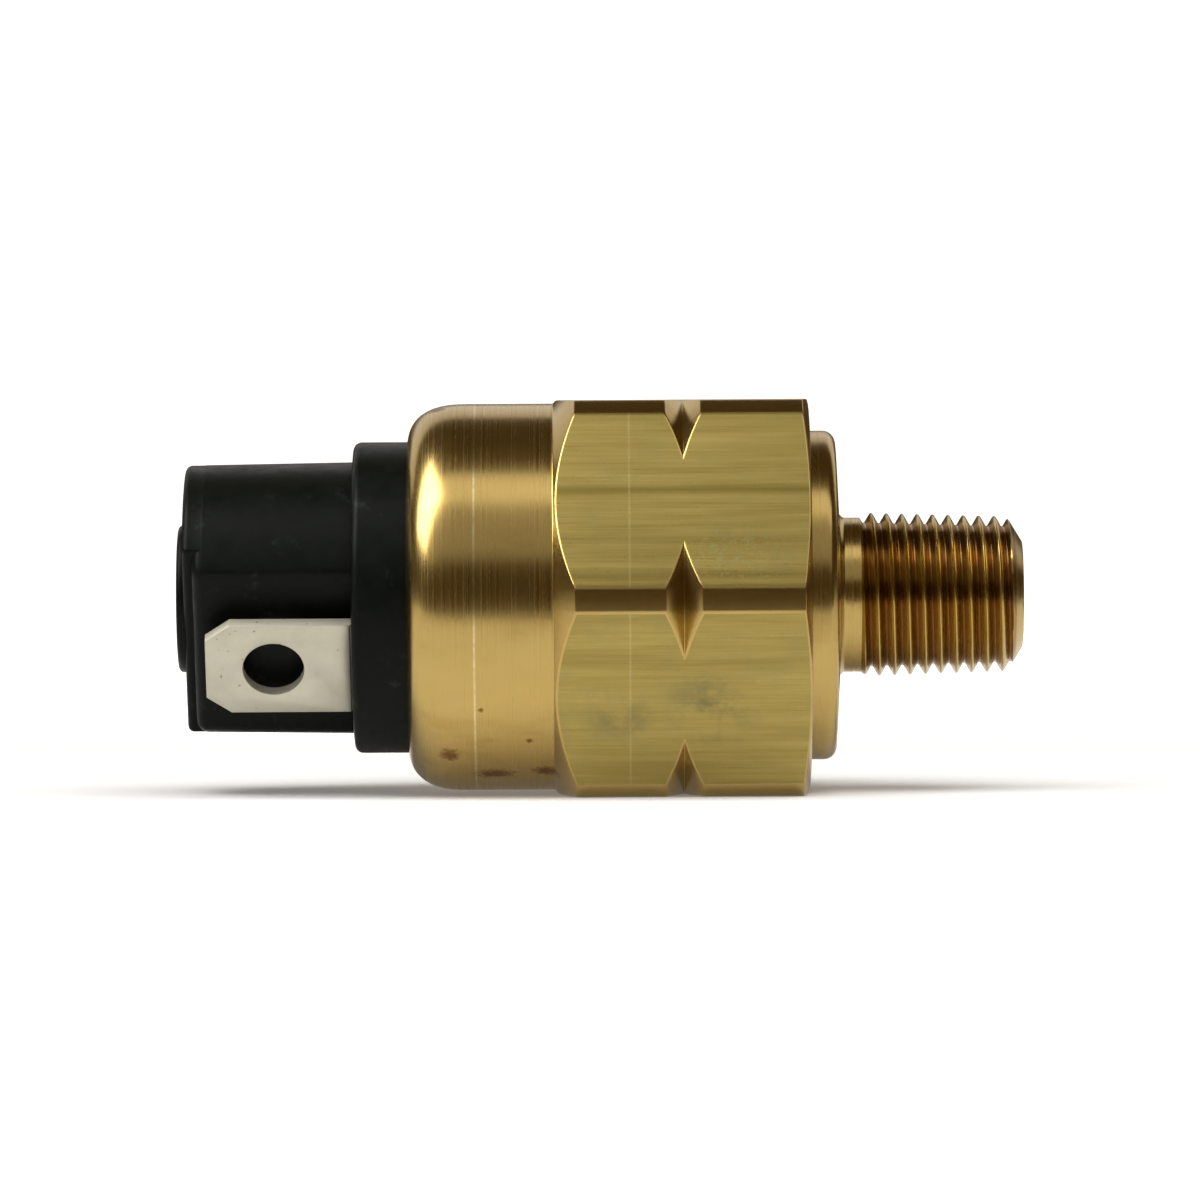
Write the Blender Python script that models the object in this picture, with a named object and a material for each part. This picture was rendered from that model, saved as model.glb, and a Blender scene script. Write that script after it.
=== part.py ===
"""An adjustable pressure switch, lying on one flat of its hexagon, with its pipe thread towards +X.

The frame: the switch's axis is the X axis, and x = 0 is the plane where the pipe thread is hand tight in its
port. +Z is up, out of the top flat of the hexagon. Run it with: blender --background --python part.py
"""

import math

import bmesh
import bpy
from mathutils import Vector

MM = 0.001
INCH = 25.4 * MM

# Fits. Every joint line that looks closed keeps SEAT_GAP, and every sliding fit keeps RUN_GAP.
SEAT_GAP = 0.10 * MM
RUN_GAP = 0.10 * MM

# Pipe thread, 1/8-27 taper
PITCH = INCH / 27
TAPER = 1 / 32
HAND_TIGHT_LENGTH = 4.10 * MM
THREAD_LENGTH = 9.90 * MM
THREAD_CREST_R = 4.85 * MM
THREAD_DEPTH = 0.63 * MM
THREAD_CREST_WIDTH = 0.11 * MM
THREAD_RUN_OUT_SLOPE = 0.6
TIP_FACE_R = 3.25 * MM
TIP_CHAMFER_SLOPE = 1.64
PORT_R = 1.60 * MM
PORT_MOUTH_R = 2.10 * MM

# Outside of the body
NECK_LENGTH = 1.27 * MM
NECK_R = 4.72 * MM
NECK_FILLET = 0.25 * MM
FLANGE_THICKNESS = 1.87 * MM
FLANGE_R = 10.05 * MM
FLANGE_ROUND = 0.75 * MM
FLANGE_DISH = 0.23 * MM
HEX_ACROSS_FLATS = 24.0 * MM
HEX_LENGTH = 15.40 * MM
CORNER_CUT = 0.436 * MM
HEAD_CHAMFER_SLOPE = 0.82
PORT_CHAMFER_SLOPE = 0.27
NOTCH_DEPTH = 1.09 * MM
SLEEVE_INSET = 0.20 * MM
SLEEVE_LENGTH = 9.06 * MM
CRIMP_ROUND = 2.70 * MM
CRIMP_REACH = 3.60 * MM
CRIMP_FULLNESS = 0.80
CRIMP_WALL = 0.90 * MM

# Inside of the body
FLOOR_THICKNESS = 3.56 * MM
CHAMBER_R = 4.00 * MM
CHAMBER_DEPTH = 0.80 * MM
BORE_R = 9.40 * MM
O_RING_INSET = 1.80 * MM
O_RING_SECTION = 1.60 * MM
O_RING_SQUEEZED = 0.90 * MM

# Diaphragm, piston and contacts, in the order that they stack from the port
DIAPHRAGM_THICKNESS = 0.35 * MM
PISTON_HEAD_R = 5.00 * MM
PISTON_HEAD_THICKNESS = 1.00 * MM
PISTON_ROOM = 1.20 * MM
STROKE = 0.60 * MM
GUIDE_WEB = 1.25 * MM
STEM_R = 2.90 * MM
STEM_TOP_R = 2.40 * MM
STEM_PIN_R = 1.40 * MM
STEM_PIN_LENGTH = 2.40 * MM
STEM_STEP_CLEAR = 0.90 * MM
WASHER_R = 4.60 * MM
WASHER_THICKNESS = 0.60 * MM
CONTACT_SPRING_R = 3.70 * MM
CONTACT_SPRING_WIRE = 0.40 * MM
CONTACT_SPRING_LENGTH = 1.70 * MM
DISC_ROOM = 0.60 * MM
DISC_THICKNESS = 0.50 * MM
RING_THICKNESS = 0.50 * MM
RING_WIDTH = 0.90 * MM
RING_GROOVE = 0.45 * MM
RING_OPENING = math.radians(80)
CONTACT_GAP = 0.45 * MM
CONTACT_R = 1.20 * MM
CONTACT_HEIGHT = 0.60 * MM
CONTACT_SHANK_R = 0.60 * MM
CONTACT_EDGE = 0.40 * MM
STEM_TOP_CLEAR = 0.80 * MM

# Moulded head
HEAD_R = 10.75 * MM
HEAD_FLANGE_THICKNESS = 4.10 * MM
SPIGOT_ROOM = 0.20 * MM
COLLAR_R = 9.50 * MM
COLLAR_LENGTH = 3.29 * MM
COLLAR_ROUND = 0.50 * MM
BLOCK_R = 8.30 * MM
BLOCK_LENGTH = 10.24 * MM
BLOCK_DRAFT = 0.14 * MM
BLOCK_ROUND = 0.70 * MM
FLAT_GAP = 0.85 * MM
RIDGE_HEIGHT = 0.60 * MM
RIDGE_HALF_WIDTH = 4.70 * MM
RIDGE_ROUND = 0.40 * MM
BOSS_R = 4.50 * MM
BOSS_HEIGHT = 0.50 * MM
BOSS_ROUND = 0.30 * MM
GASKET_THICKNESS = 0.70 * MM
SPACER_WALL = 1.00 * MM

# Terminals, turned about the axis from the horizontal
TERMINAL_TURN = math.radians(33)
BLADE_WIDTH = 6.35 * MM
BLADE_THICKNESS = 0.80 * MM
BLADE_INSET = 1.75 * MM
BLADE_LENGTH = 8.86 * MM
BLADE_TIP_CUT = 1.50 * MM
BLADE_TIP_NARROWING = 1.10 * MM
BLADE_HOLE_R = 1.86 * MM
BLADE_HOLE_FROM_TIP = 4.10 * MM
BLADE_IN_COLLAR = 3.00 * MM
LEG_WIDTH = 4.40 * MM
LEG_COINED = 0.10 * MM
FOOT_ROOM = 0.30 * MM

# Adjuster and main spring
BUSH_R = 3.50 * MM
BUSH_LENGTH = 7.70 * MM
BUSH_RECESS = 0.20 * MM
BUSH_GROOVE = 0.35 * MM
SCREW_R = 2.50 * MM
SCREW_PITCH = 0.80 * MM
SCREW_THREAD_DEPTH = 0.45 * MM
SCREW_LENGTH = 5.20 * MM
SCREW_RECESS = 1.40 * MM
SCREW_TRAVEL = 0.80 * MM
SCREW_DOG_R = 1.20 * MM
SCREW_DOG_LENGTH = 1.00 * MM
SOCKET_ACROSS_FLATS = 2.50 * MM
SOCKET_DEPTH = 2.60 * MM
SEAT_THICKNESS = 1.20 * MM
SEAT_R = 2.45 * MM
SEAT_PIN_LENGTH = 1.50 * MM
SPRING_R = 1.95 * MM
SPRING_WIRE = 0.80 * MM
SPRING_COIL_PITCH = 1.55 * MM
SPRING_BORE_GAP = 0.40 * MM

# Fineness of the round shapes
TURN_STEPS = 40
SMALL_STEPS = 28
SCREW_STEPS = 20
COIL_STEPS = 12
ARC_STEPS = 4

# Places along the axis, worked out from the sizes above. Towards the terminals is -X.
TIP_X = HAND_TIGHT_LENGTH
NECK_X = TIP_X - THREAD_LENGTH
FLANGE_X = NECK_X - NECK_LENGTH
HEX_PORT_X = FLANGE_X - FLANGE_THICKNESS
HEX_HEAD_X = HEX_PORT_X - HEX_LENGTH
LIP_X = HEX_HEAD_X - SLEEVE_LENGTH
COLLAR_X = LIP_X - COLLAR_LENGTH
BLOCK_X = COLLAR_X - BLOCK_LENGTH
PAD_X = BLOCK_X + RIDGE_HEIGHT
BOSS_X = BLOCK_X - BOSS_HEIGHT

DIAPHRAGM_SEAT_X = HEX_PORT_X - FLOOR_THICKNESS
DIAPHRAGM_X = DIAPHRAGM_SEAT_X - SEAT_GAP
GUIDE_X = DIAPHRAGM_X - DIAPHRAGM_THICKNESS - SEAT_GAP
PISTON_X = GUIDE_X
WEB_X = PISTON_X - PISTON_HEAD_THICKNESS - STROKE - RUN_GAP
GUIDE_TOP_X = WEB_X - GUIDE_WEB
STEM_STEP_X = GUIDE_TOP_X - STEM_STEP_CLEAR
WASHER_X = STEM_STEP_X - SEAT_GAP
CONTACT_SPRING_X = WASHER_X - WASHER_THICKNESS - SEAT_GAP
DISC_X = CONTACT_SPRING_X - CONTACT_SPRING_LENGTH - SEAT_GAP
RING_X = DISC_X - DISC_THICKNESS - SEAT_GAP
FIXED_CONTACT_X = DISC_X - DISC_THICKNESS - CONTACT_GAP
FOOT_X = FIXED_CONTACT_X - CONTACT_HEIGHT - SEAT_GAP
SPIGOT_X = FOOT_X - BLADE_THICKNESS - SEAT_GAP
STEM_TOP_X = RING_X - RING_THICKNESS - STEM_TOP_CLEAR

HEAD_SHOULDER_X = LIP_X + CRIMP_WALL + SEAT_GAP
HEAD_BASE_X = HEAD_SHOULDER_X + HEAD_FLANGE_THICKNESS
GASKET_X = HEAD_BASE_X + SEAT_GAP + GASKET_THICKNESS
BORE_STEP_X = GASKET_X + SEAT_GAP
BLADE_TIP_X = COLLAR_X - BLADE_LENGTH

BUSH_X = BOSS_X + BUSH_RECESS
SCREW_X = BOSS_X + SCREW_RECESS
DOG_TIP_X = SCREW_X + SCREW_LENGTH + SCREW_DOG_LENGTH
SPRING_SEAT_X = DOG_TIP_X + SEAT_GAP

# Radii worked out from the sizes above
HEX_FLAT_R = HEX_ACROSS_FLATS / 2
HEX_CORNER_R = HEX_FLAT_R / math.cos(math.pi / 6)
TURNED_CORNER_R = HEX_CORNER_R - CORNER_CUT
SLEEVE_R = HEX_FLAT_R - SLEEVE_INSET
LIP_HOLE_R = COLLAR_R + SEAT_GAP
HEAD_BORE_R = HEAD_R + SEAT_GAP
INSERT_R = BORE_R - 2 * SEAT_GAP
GUIDE_POCKET_R = PISTON_HEAD_R + PISTON_ROOM
SPRING_BORE_R = SPRING_R + SPRING_WIRE / 2 + SPRING_BORE_GAP
O_RING_R = BORE_R - O_RING_INSET
SPACER_IN_R = INSERT_R - SPACER_WALL
HEAD_SPIGOT_R = SPACER_IN_R - SPIGOT_ROOM
DISC_R = SPACER_IN_R - DISC_ROOM
CONTACT_OFFSET = DISC_R - CONTACT_EDGE - CONTACT_R
RING_IN_R = STEM_TOP_R - RING_GROOVE + SEAT_GAP
RING_OUT_R = RING_IN_R + RING_WIDTH
FOOT_END = RING_OUT_R + FOOT_ROOM
BLADE_OUT = BORE_R - BLADE_INSET
BLADE_IN = BLADE_OUT - BLADE_THICKNESS
BLOCK_FLAT = BLADE_IN - FLAT_GAP

BRASS = ("brass", (0.78, 0.58, 0.25), 0.28, 1.0)
BLACK_PLASTIC = ("black_moulding", (0.012, 0.013, 0.012), 0.55, 0.0)
TINNED_BRASS = ("tinned_brass", (0.78, 0.76, 0.70), 0.35, 1.0)
STEEL = ("steel", (0.55, 0.56, 0.58), 0.30, 1.0)
SPRING_STEEL = ("spring_steel", (0.42, 0.43, 0.46), 0.28, 1.0)
SILVER = ("silver", (0.90, 0.89, 0.86), 0.22, 1.0)
ACETAL = ("white_acetal", (0.82, 0.81, 0.76), 0.45, 0.0)
NITRILE = ("nitrile_rubber", (0.02, 0.02, 0.02), 0.75, 0.0)
POLYIMIDE = ("polyimide_film", (0.62, 0.30, 0.05), 0.30, 0.0)


def clear_scene():
    for obj in list(bpy.data.objects):
        bpy.data.objects.remove(obj)


def material(finish):
    name, colour, roughness, metallic = finish
    made = bpy.data.materials.get(name)
    if made is None:
        made = bpy.data.materials.new(name)
        made.use_nodes = True
        shader = made.node_tree.nodes["Principled BSDF"]
        shader.inputs["Base Color"].default_value = (*colour, 1.0)
        shader.inputs["Roughness"].default_value = roughness
        shader.inputs["Metallic"].default_value = metallic
        made.diffuse_color = (*colour, 1.0)
    return made


def empty(name, turn=0.0, parent=None):
    made = bpy.data.objects.new(name, None)
    made.rotation_euler.x = turn
    made.parent = parent
    bpy.context.scene.collection.objects.link(made)
    return made


def place(name, data, finish, parent, x=0.0):
    """Links a mesh or a curve as the object `name`, at x along the axis."""
    made = bpy.data.objects.new(name, data)
    made.parent = parent
    made.location.x = x
    bpy.context.scene.collection.objects.link(made)
    if finish is not None:
        data.materials.append(material(finish))
    return made


def finish_mesh(name, bm):
    """Outward normals, and smooth shading that breaks at the real edges."""
    bmesh.ops.remove_doubles(bm, verts=bm.verts, dist=1e-8)
    bmesh.ops.recalc_face_normals(bm, faces=bm.faces)
    mesh = bpy.data.meshes.new(name)
    bm.to_mesh(mesh)
    bm.free()
    mesh.shade_smooth()
    mesh.set_sharp_from_angle(angle=math.radians(30))
    return mesh


def arc(centre_x, centre_r, radius, start, end, steps=ARC_STEPS, reach=None, fullness=1.0):
    """Points (x, r) on an arc. Angles are in degrees, from +X towards larger r.

    An arc with a reach is part of an ellipse that goes that far along the axis. A fullness below 1 makes it
    squarer, as metal is where it is rolled over.
    """
    reach = radius if reach is None else reach

    def eased(value):
        return math.copysign(abs(value) ** fullness, value) if abs(value) > 1e-9 else 0.0

    turned_by = [math.radians(start + (end - start) * i / steps) for i in range(steps + 1)]
    return [(centre_x + reach * eased(math.cos(a)), centre_r + radius * eased(math.sin(a))) for a in turned_by]


def angle_at(centre_r, radius, r, fullness=1.0):
    """The angle in degrees where an arc that bends back towards -X comes down to r."""
    share = min(1.0, max(0.0, (r - centre_r) / radius))
    return 180 - math.degrees(math.asin(share ** (1 / fullness)))


def turned(name, outline, finish, parent, x=0.0, steps=SMALL_STEPS, sweep=2 * math.pi, closed=True):
    """A piece turned about the X axis from an outline of (x, r) points, relative to x.

    A closed outline is a ring's section. An open one starts and ends on the axis. A sweep under a full turn
    leaves the ring open, with flat ends.
    """
    bm = bmesh.new()
    points = [bm.verts.new((px, r, 0.0)) for px, r in outline]
    pairs = list(zip(points, points[1:] + points[:1] if closed else points[1:]))
    edges = [bm.edges.new(pair) for pair in pairs]
    whole = math.isclose(sweep, 2 * math.pi)
    geometry = points + edges if whole else [*points, *edges, bm.faces.new(points)]
    bmesh.ops.spin(bm, geom=geometry, cent=(0, 0, 0), axis=(1, 0, 0), angle=sweep, steps=steps,
                   use_merge=whole)
    return place(name, finish_mesh(name, bm), finish, parent, x)


def threaded(name, before, thread, after, finish, parent, x=0.0, steps=TURN_STEPS):
    """A turned piece with a right-hand thread in its outline.

    The outline runs along `before`, the thread and `after`, towards +X, then closes on itself. The thread is
    (pitch, corners, radius): each corner is its share of a pitch and its height, and radius(x, height) gives
    the surface there. It starts at the last point of `before` and ends at the first of `after`.
    """
    pitch, corners, radius = thread
    start, end = before[-1][0], after[0][0]
    rows = len(corners) * (math.ceil((end - start) / pitch) + 2)
    bm = bmesh.new()

    def ring(points, angle):
        return [bm.verts.new((px, r * math.cos(angle), r * math.sin(angle))) for px, r in points]

    def helix_point(row, share, angle, first, last):
        part, height = corners[row % len(corners)]
        px = start + pitch * (row // len(corners) + part + share - 1)
        if px <= start:
            return first
        if px >= end:
            return last
        r = radius(px, height)
        return bm.verts.new((px, r * math.cos(angle), r * math.sin(angle)))

    columns = []
    for step in range(steps):
        angle = 2 * math.pi * step / steps
        head, tail = ring(before, angle), ring(after, angle)
        helix = [helix_point(row, step / steps, angle, head[-1], tail[0]) for row in range(rows)]
        columns.append((head, helix, tail))

    def skin(left, right):
        for (a, b), (d, c) in zip(zip(left, left[1:]), zip(right, right[1:])):
            corner_points = list(dict.fromkeys((a, b, c, d)))
            if len(corner_points) > 2:
                bm.faces.new(corner_points)

    for step, (head, helix, tail) in enumerate(columns):
        next_head, next_helix, next_tail = columns[(step + 1) % steps]
        if step == steps - 1:
            next_helix = next_helix[len(corners):] + [next_tail[0]] * len(corners)
        skin(head, next_head)
        skin(helix, next_helix)
        skin([*tail, head[0]], [*next_tail, next_head[0]])
    return place(name, finish_mesh(name, bm), finish, parent, x)


def v_thread(pitch, depth, crest_width):
    """The corners of a 60 degree thread with a flat crest and a flat root, as shares of a pitch."""
    flank = depth * math.tan(math.radians(30)) / pitch
    crest = crest_width / pitch
    root = 1 - 2 * flank - crest
    return [(0.0, 0.0), (root, 0.0), (root + flank, 1.0), (root + flank + crest, 1.0)]


def prism(name, outline, low, high, across, parent, finish=None, turn=0.0):
    """A flat outline pushed through from low to high along the axis that `across` names.

    Across "x" takes (y, z) points, "y" takes (x, z) points and "z" takes (x, y) points.
    """
    order = {"x": (2, 0, 1), "y": (0, 2, 1), "z": (0, 1, 2)}[across]
    bm = bmesh.new()
    corners = [bm.verts.new([(u, v, low)[i] for i in order]) for u, v in outline]
    pushed = bmesh.ops.extrude_face_region(bm, geom=[bm.faces.new(corners)])
    shift = Vector([(0, 0, high - low)[i] for i in order])
    bmesh.ops.translate(bm, vec=shift, verts=[g for g in pushed["geom"] if isinstance(g, bmesh.types.BMVert)])
    made = place(name, finish_mesh(name, bm), finish, parent)
    made.rotation_euler.x = turn
    return made


def polygon(sides, flat_r, centre=(0.0, 0.0)):
    """A regular outline of that many sides, with its corners on the first axis."""
    corner_r = flat_r / math.cos(math.pi / sides)
    angles = [2 * math.pi * i / sides for i in range(sides)]
    return [(centre[0] + corner_r * math.cos(a), centre[1] + corner_r * math.sin(a)) for a in angles]


def rectangle(low_u, low_v, high_u, high_v):
    return [(low_u, low_v), (high_u, low_v), (high_u, high_v), (low_u, high_v)]


def boolean(obj, operation, tool):
    """Cuts obj with tool, or keeps what they share, and hides the tool as a helper."""
    modifier = obj.modifiers.new(tool.name, "BOOLEAN")
    modifier.operation = operation
    modifier.object = tool
    tool.hide_render = True
    tool.display_type = "WIRE"
    return obj


def pipe_thread():
    """The thread's shape: a crest cone and a root cone, with the crests let down to the neck."""
    root_r = THREAD_CREST_R - THREAD_DEPTH

    def radius(px, height):
        cone = root_r + (TIP_X - px) * TAPER
        run_out = NECK_R + (px - NECK_X) * THREAD_RUN_OUT_SLOPE
        chamfer = TIP_FACE_R + (TIP_X - px) * TIP_CHAMFER_SLOPE
        return min(cone + height * THREAD_DEPTH, max(cone, run_out), chamfer)

    return PITCH, v_thread(PITCH, THREAD_DEPTH, THREAD_CREST_WIDTH), radius


def body_outside():
    """The turned outside, from the crimped lip to where the thread starts."""
    round_x = LIP_X + CRIMP_REACH
    round_r = SLEEVE_R - CRIMP_ROUND
    lip_angle = angle_at(round_r, CRIMP_ROUND, LIP_HOLE_R, CRIMP_FULLNESS)
    notch_x = (HEX_HEAD_X + HEX_PORT_X) / 2
    port_face_r = HEX_FLAT_R - CORNER_CUT / 2
    return [
        *arc(round_x, round_r, CRIMP_ROUND, lip_angle, 90, 2 * ARC_STEPS, CRIMP_REACH, CRIMP_FULLNESS),
        (HEX_HEAD_X - SLEEVE_INSET * HEAD_CHAMFER_SLOPE, SLEEVE_R),
        (HEX_HEAD_X + (TURNED_CORNER_R - HEX_FLAT_R) * HEAD_CHAMFER_SLOPE, TURNED_CORNER_R),
        (notch_x - NOTCH_DEPTH, TURNED_CORNER_R),
        (notch_x, TURNED_CORNER_R - NOTCH_DEPTH),
        (notch_x + NOTCH_DEPTH, TURNED_CORNER_R),
        (HEX_PORT_X - (TURNED_CORNER_R - port_face_r) * PORT_CHAMFER_SLOPE, TURNED_CORNER_R),
        (HEX_PORT_X, port_face_r),
        (HEX_PORT_X, FLANGE_R),
        *arc(FLANGE_X - FLANGE_DISH - FLANGE_ROUND, FLANGE_R - FLANGE_ROUND, FLANGE_ROUND, 90, 0),
        (FLANGE_X, NECK_R + NECK_FILLET),
        (FLANGE_X + NECK_FILLET, NECK_R),
        (NECK_X, NECK_R),
    ]


def body_inside():
    """The inside, from the thread's tip through the port to the crimped lip."""
    groove_in = O_RING_R - O_RING_SECTION / 2 - 2 * SEAT_GAP
    groove_out = O_RING_R + O_RING_SECTION / 2 + 2 * SEAT_GAP
    groove_x = DIAPHRAGM_SEAT_X + O_RING_SQUEEZED + SEAT_GAP
    chamfer_length = (THREAD_CREST_R - THREAD_DEPTH - TIP_FACE_R) / TIP_CHAMFER_SLOPE
    lip_round = CRIMP_ROUND - CRIMP_WALL
    round_x = LIP_X + CRIMP_REACH
    round_r = HEAD_BORE_R - lip_round
    lip_angle = angle_at(round_r, lip_round, LIP_HOLE_R, CRIMP_FULLNESS)
    return [
        (TIP_X - chamfer_length, THREAD_CREST_R - THREAD_DEPTH),
        (TIP_X, TIP_FACE_R),
        (TIP_X, PORT_MOUTH_R),
        (TIP_X - (PORT_MOUTH_R - PORT_R), PORT_R),
        (DIAPHRAGM_SEAT_X + CHAMBER_DEPTH, PORT_R),
        (DIAPHRAGM_SEAT_X + CHAMBER_DEPTH, CHAMBER_R),
        (DIAPHRAGM_SEAT_X, CHAMBER_R),
        (DIAPHRAGM_SEAT_X, groove_in),
        (groove_x, groove_in),
        (groove_x, groove_out),
        (DIAPHRAGM_SEAT_X, groove_out),
        (DIAPHRAGM_SEAT_X, BORE_R),
        (BORE_STEP_X, BORE_R),
        (BORE_STEP_X, HEAD_BORE_R),
        *arc(round_x, round_r, lip_round, 90, lip_angle, ARC_STEPS, CRIMP_REACH - CRIMP_WALL,
             CRIMP_FULLNESS),
    ]


def hex_body(parent):
    """The brass body: bar stock turned at both ends, with the pipe thread, and its lip rolled over the head."""
    body = threaded("hex_body", body_outside(), pipe_thread(), body_inside(), BRASS, parent)
    past_ends = HEX_LENGTH
    bar = prism("hex_bar_guide", polygon(6, HEX_FLAT_R), BOSS_X - past_ends, TIP_X + past_ends, "x", parent)
    return boolean(body, "INTERSECT", bar)


def diaphragm_o_ring(parent):
    """Nitrile ring in the floor's groove, squeezed flat by the diaphragm."""
    steps = 2 * ARC_STEPS
    angles = [2 * math.pi * i / steps for i in range(steps)]
    half_width, half_height = O_RING_SECTION / 2, O_RING_SQUEEZED / 2
    section = [(half_height * math.cos(a), O_RING_R + half_width * math.sin(a)) for a in angles]
    turned("diaphragm_o_ring", section, NITRILE, parent, DIAPHRAGM_SEAT_X + half_height)


def disc_outline(thickness, radius):
    """A plain disc that stands from 0 towards -X."""
    return [(0.0, 0.0), (0.0, radius), (-thickness, radius), (-thickness, 0.0)]


def ring_outline(thickness, inner, outer):
    """A plain ring that stands from 0 towards -X."""
    return [(0.0, inner), (0.0, outer), (-thickness, outer), (-thickness, inner)]


def diaphragm(parent):
    turned("diaphragm", disc_outline(DIAPHRAGM_THICKNESS, INSERT_R), POLYIMIDE, parent, DIAPHRAGM_X,
           closed=False)


def guide_plate(parent):
    """Steel cup that clamps the diaphragm's rim, guides the stem and stops the piston at full stroke."""
    pocket = WEB_X - GUIDE_X
    top = GUIDE_TOP_X - GUIDE_X
    bore = STEM_R + RUN_GAP
    outline = [(0.0, GUIDE_POCKET_R), (0.0, INSERT_R), (top, INSERT_R), (top, bore), (pocket, bore),
               (pocket, GUIDE_POCKET_R)]
    turned("guide_plate", outline, STEEL, parent, GUIDE_X)


def spacer_sleeve(parent):
    """Insulating sleeve that passes the crimp's force from the head to the guide plate."""
    start = GUIDE_TOP_X - SEAT_GAP
    length = start - (HEAD_BASE_X + SEAT_GAP)
    outline = ring_outline(length, SPACER_IN_R, INSERT_R)
    turned("spacer_sleeve", outline, ACETAL, parent, start)


def head_gasket(parent):
    """Flat rubber ring between the head and the step in the bore."""
    outline = ring_outline(GASKET_THICKNESS, INSERT_R + 2 * SEAT_GAP, HEAD_BORE_R - SEAT_GAP)
    turned("head_gasket", outline, NITRILE, parent, GASKET_X)


def head_outline():
    """The head's turned shape: bore, spigot, clamped flange, collar, block and boss."""
    shoulder_round = CRIMP_ROUND - CRIMP_WALL
    shoulder_reach = CRIMP_REACH - CRIMP_WALL
    block_top_r = BLOCK_R - BLOCK_DRAFT
    bush_bore = BUSH_R + SEAT_GAP
    bush_end = BUSH_X + BUSH_LENGTH + SEAT_GAP
    return [
        (SPIGOT_X, SPRING_BORE_R),
        (SPIGOT_X, HEAD_SPIGOT_R),
        (HEAD_BASE_X, HEAD_SPIGOT_R),
        (HEAD_BASE_X, HEAD_R),
        *arc(HEAD_SHOULDER_X + shoulder_reach, HEAD_R - shoulder_round, shoulder_round, 90,
             angle_at(HEAD_R - shoulder_round, shoulder_round, COLLAR_R, CRIMP_FULLNESS), ARC_STEPS,
             shoulder_reach, CRIMP_FULLNESS),
        (HEAD_SHOULDER_X, COLLAR_R),
        *arc(COLLAR_X + COLLAR_ROUND, COLLAR_R - COLLAR_ROUND, COLLAR_ROUND, 90, 180),
        (COLLAR_X, BLOCK_R),
        *arc(PAD_X + BLOCK_ROUND, block_top_r - BLOCK_ROUND, BLOCK_ROUND, 90, 180),
        (PAD_X, BOSS_R),
        *arc(BOSS_X + BOSS_ROUND, BOSS_R - BOSS_ROUND, BOSS_ROUND, 90, 180),
        (BOSS_X, bush_bore),
        (bush_end, bush_bore),
        (bush_end, SPRING_BORE_R),
    ]


def end_ridge(parent, turn):
    """The raised band across the block's end, between the two lower pads beside the terminals."""
    outer = BLOCK_R - BLOCK_DRAFT - SEAT_GAP / 4
    inner = (BUSH_R + BOSS_R) / 2
    root_x = PAD_X + RIDGE_HEIGHT
    outline = [(root_x, inner), (root_x, outer),
               *arc(BLOCK_X + RIDGE_ROUND, outer - RIDGE_ROUND, RIDGE_ROUND, 90, 180), (BLOCK_X, inner)]
    ridge = turned("end_ridge_helper", outline, None, parent, steps=TURN_STEPS)
    band = prism("end_ridge_band", rectangle(BLOCK_X - BLOCK_R, -RIDGE_HALF_WIDTH, BLOCK_X + BLOCK_R,
                                             RIDGE_HALF_WIDTH),
                 -2 * BLOCK_R, 2 * BLOCK_R, "z", parent, turn=turn)
    return boolean(ridge, "INTERSECT", band)


def terminal_head(parent, turn):
    """The black moulding: a turned shape with a flat for each terminal and a slot that each one stands in."""
    head = turned("terminal_head", head_outline(), BLACK_PLASTIC, parent, steps=TURN_STEPS)
    boolean(head, "UNION", end_ridge(parent, turn))
    past = 1.5 * HEAD_R
    slot = t_shape(COLLAR_X - past, COLLAR_X + BLADE_IN_COLLAR, SPIGOT_X + past, SEAT_GAP)
    half_room = LEG_WIDTH / 2 + 2 * SEAT_GAP
    for side, side_turn in (("a", turn), ("b", turn + math.pi)):
        flat = prism(f"block_flat_{side}", rectangle(BLOCK_X - past, -past, COLLAR_X, -BLOCK_FLAT),
                     -past, past, "z", parent, turn=side_turn)
        blade_slot = prism(f"blade_slot_{side}", slot, -BLADE_OUT - SEAT_GAP, -BLADE_IN + SEAT_GAP, "y",
                           parent, turn=side_turn)
        leg_room = prism(f"leg_room_{side}",
                         rectangle(HEAD_BASE_X - SEAT_GAP, -past, SPIGOT_X + past, -BLADE_IN),
                         -half_room, half_room, "z", parent, turn=side_turn)
        for tool in (flat, blade_slot, leg_room):
            boolean(head, "DIFFERENCE", tool)
    return head


def t_shape(tip_x, shoulder_x, leg_x, gap, corner=(0.0, 0.0)):
    """A blade as far as its shoulder and the narrower leg beyond, as (x, z), with a gap all round.

    The corner is how far the two corners at the tip are cut back, along the blade and across it.
    """
    half, half_leg = BLADE_WIDTH / 2 + gap, LEG_WIDTH / 2 + gap
    upper = [(leg_x, half_leg), (shoulder_x, half_leg), (shoulder_x, half)]
    if corner[0]:
        upper.append((tip_x + corner[0], half))
    upper.append((tip_x, half - corner[1]))
    return upper + [(px, -z) for px, z in reversed(upper)]


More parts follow.
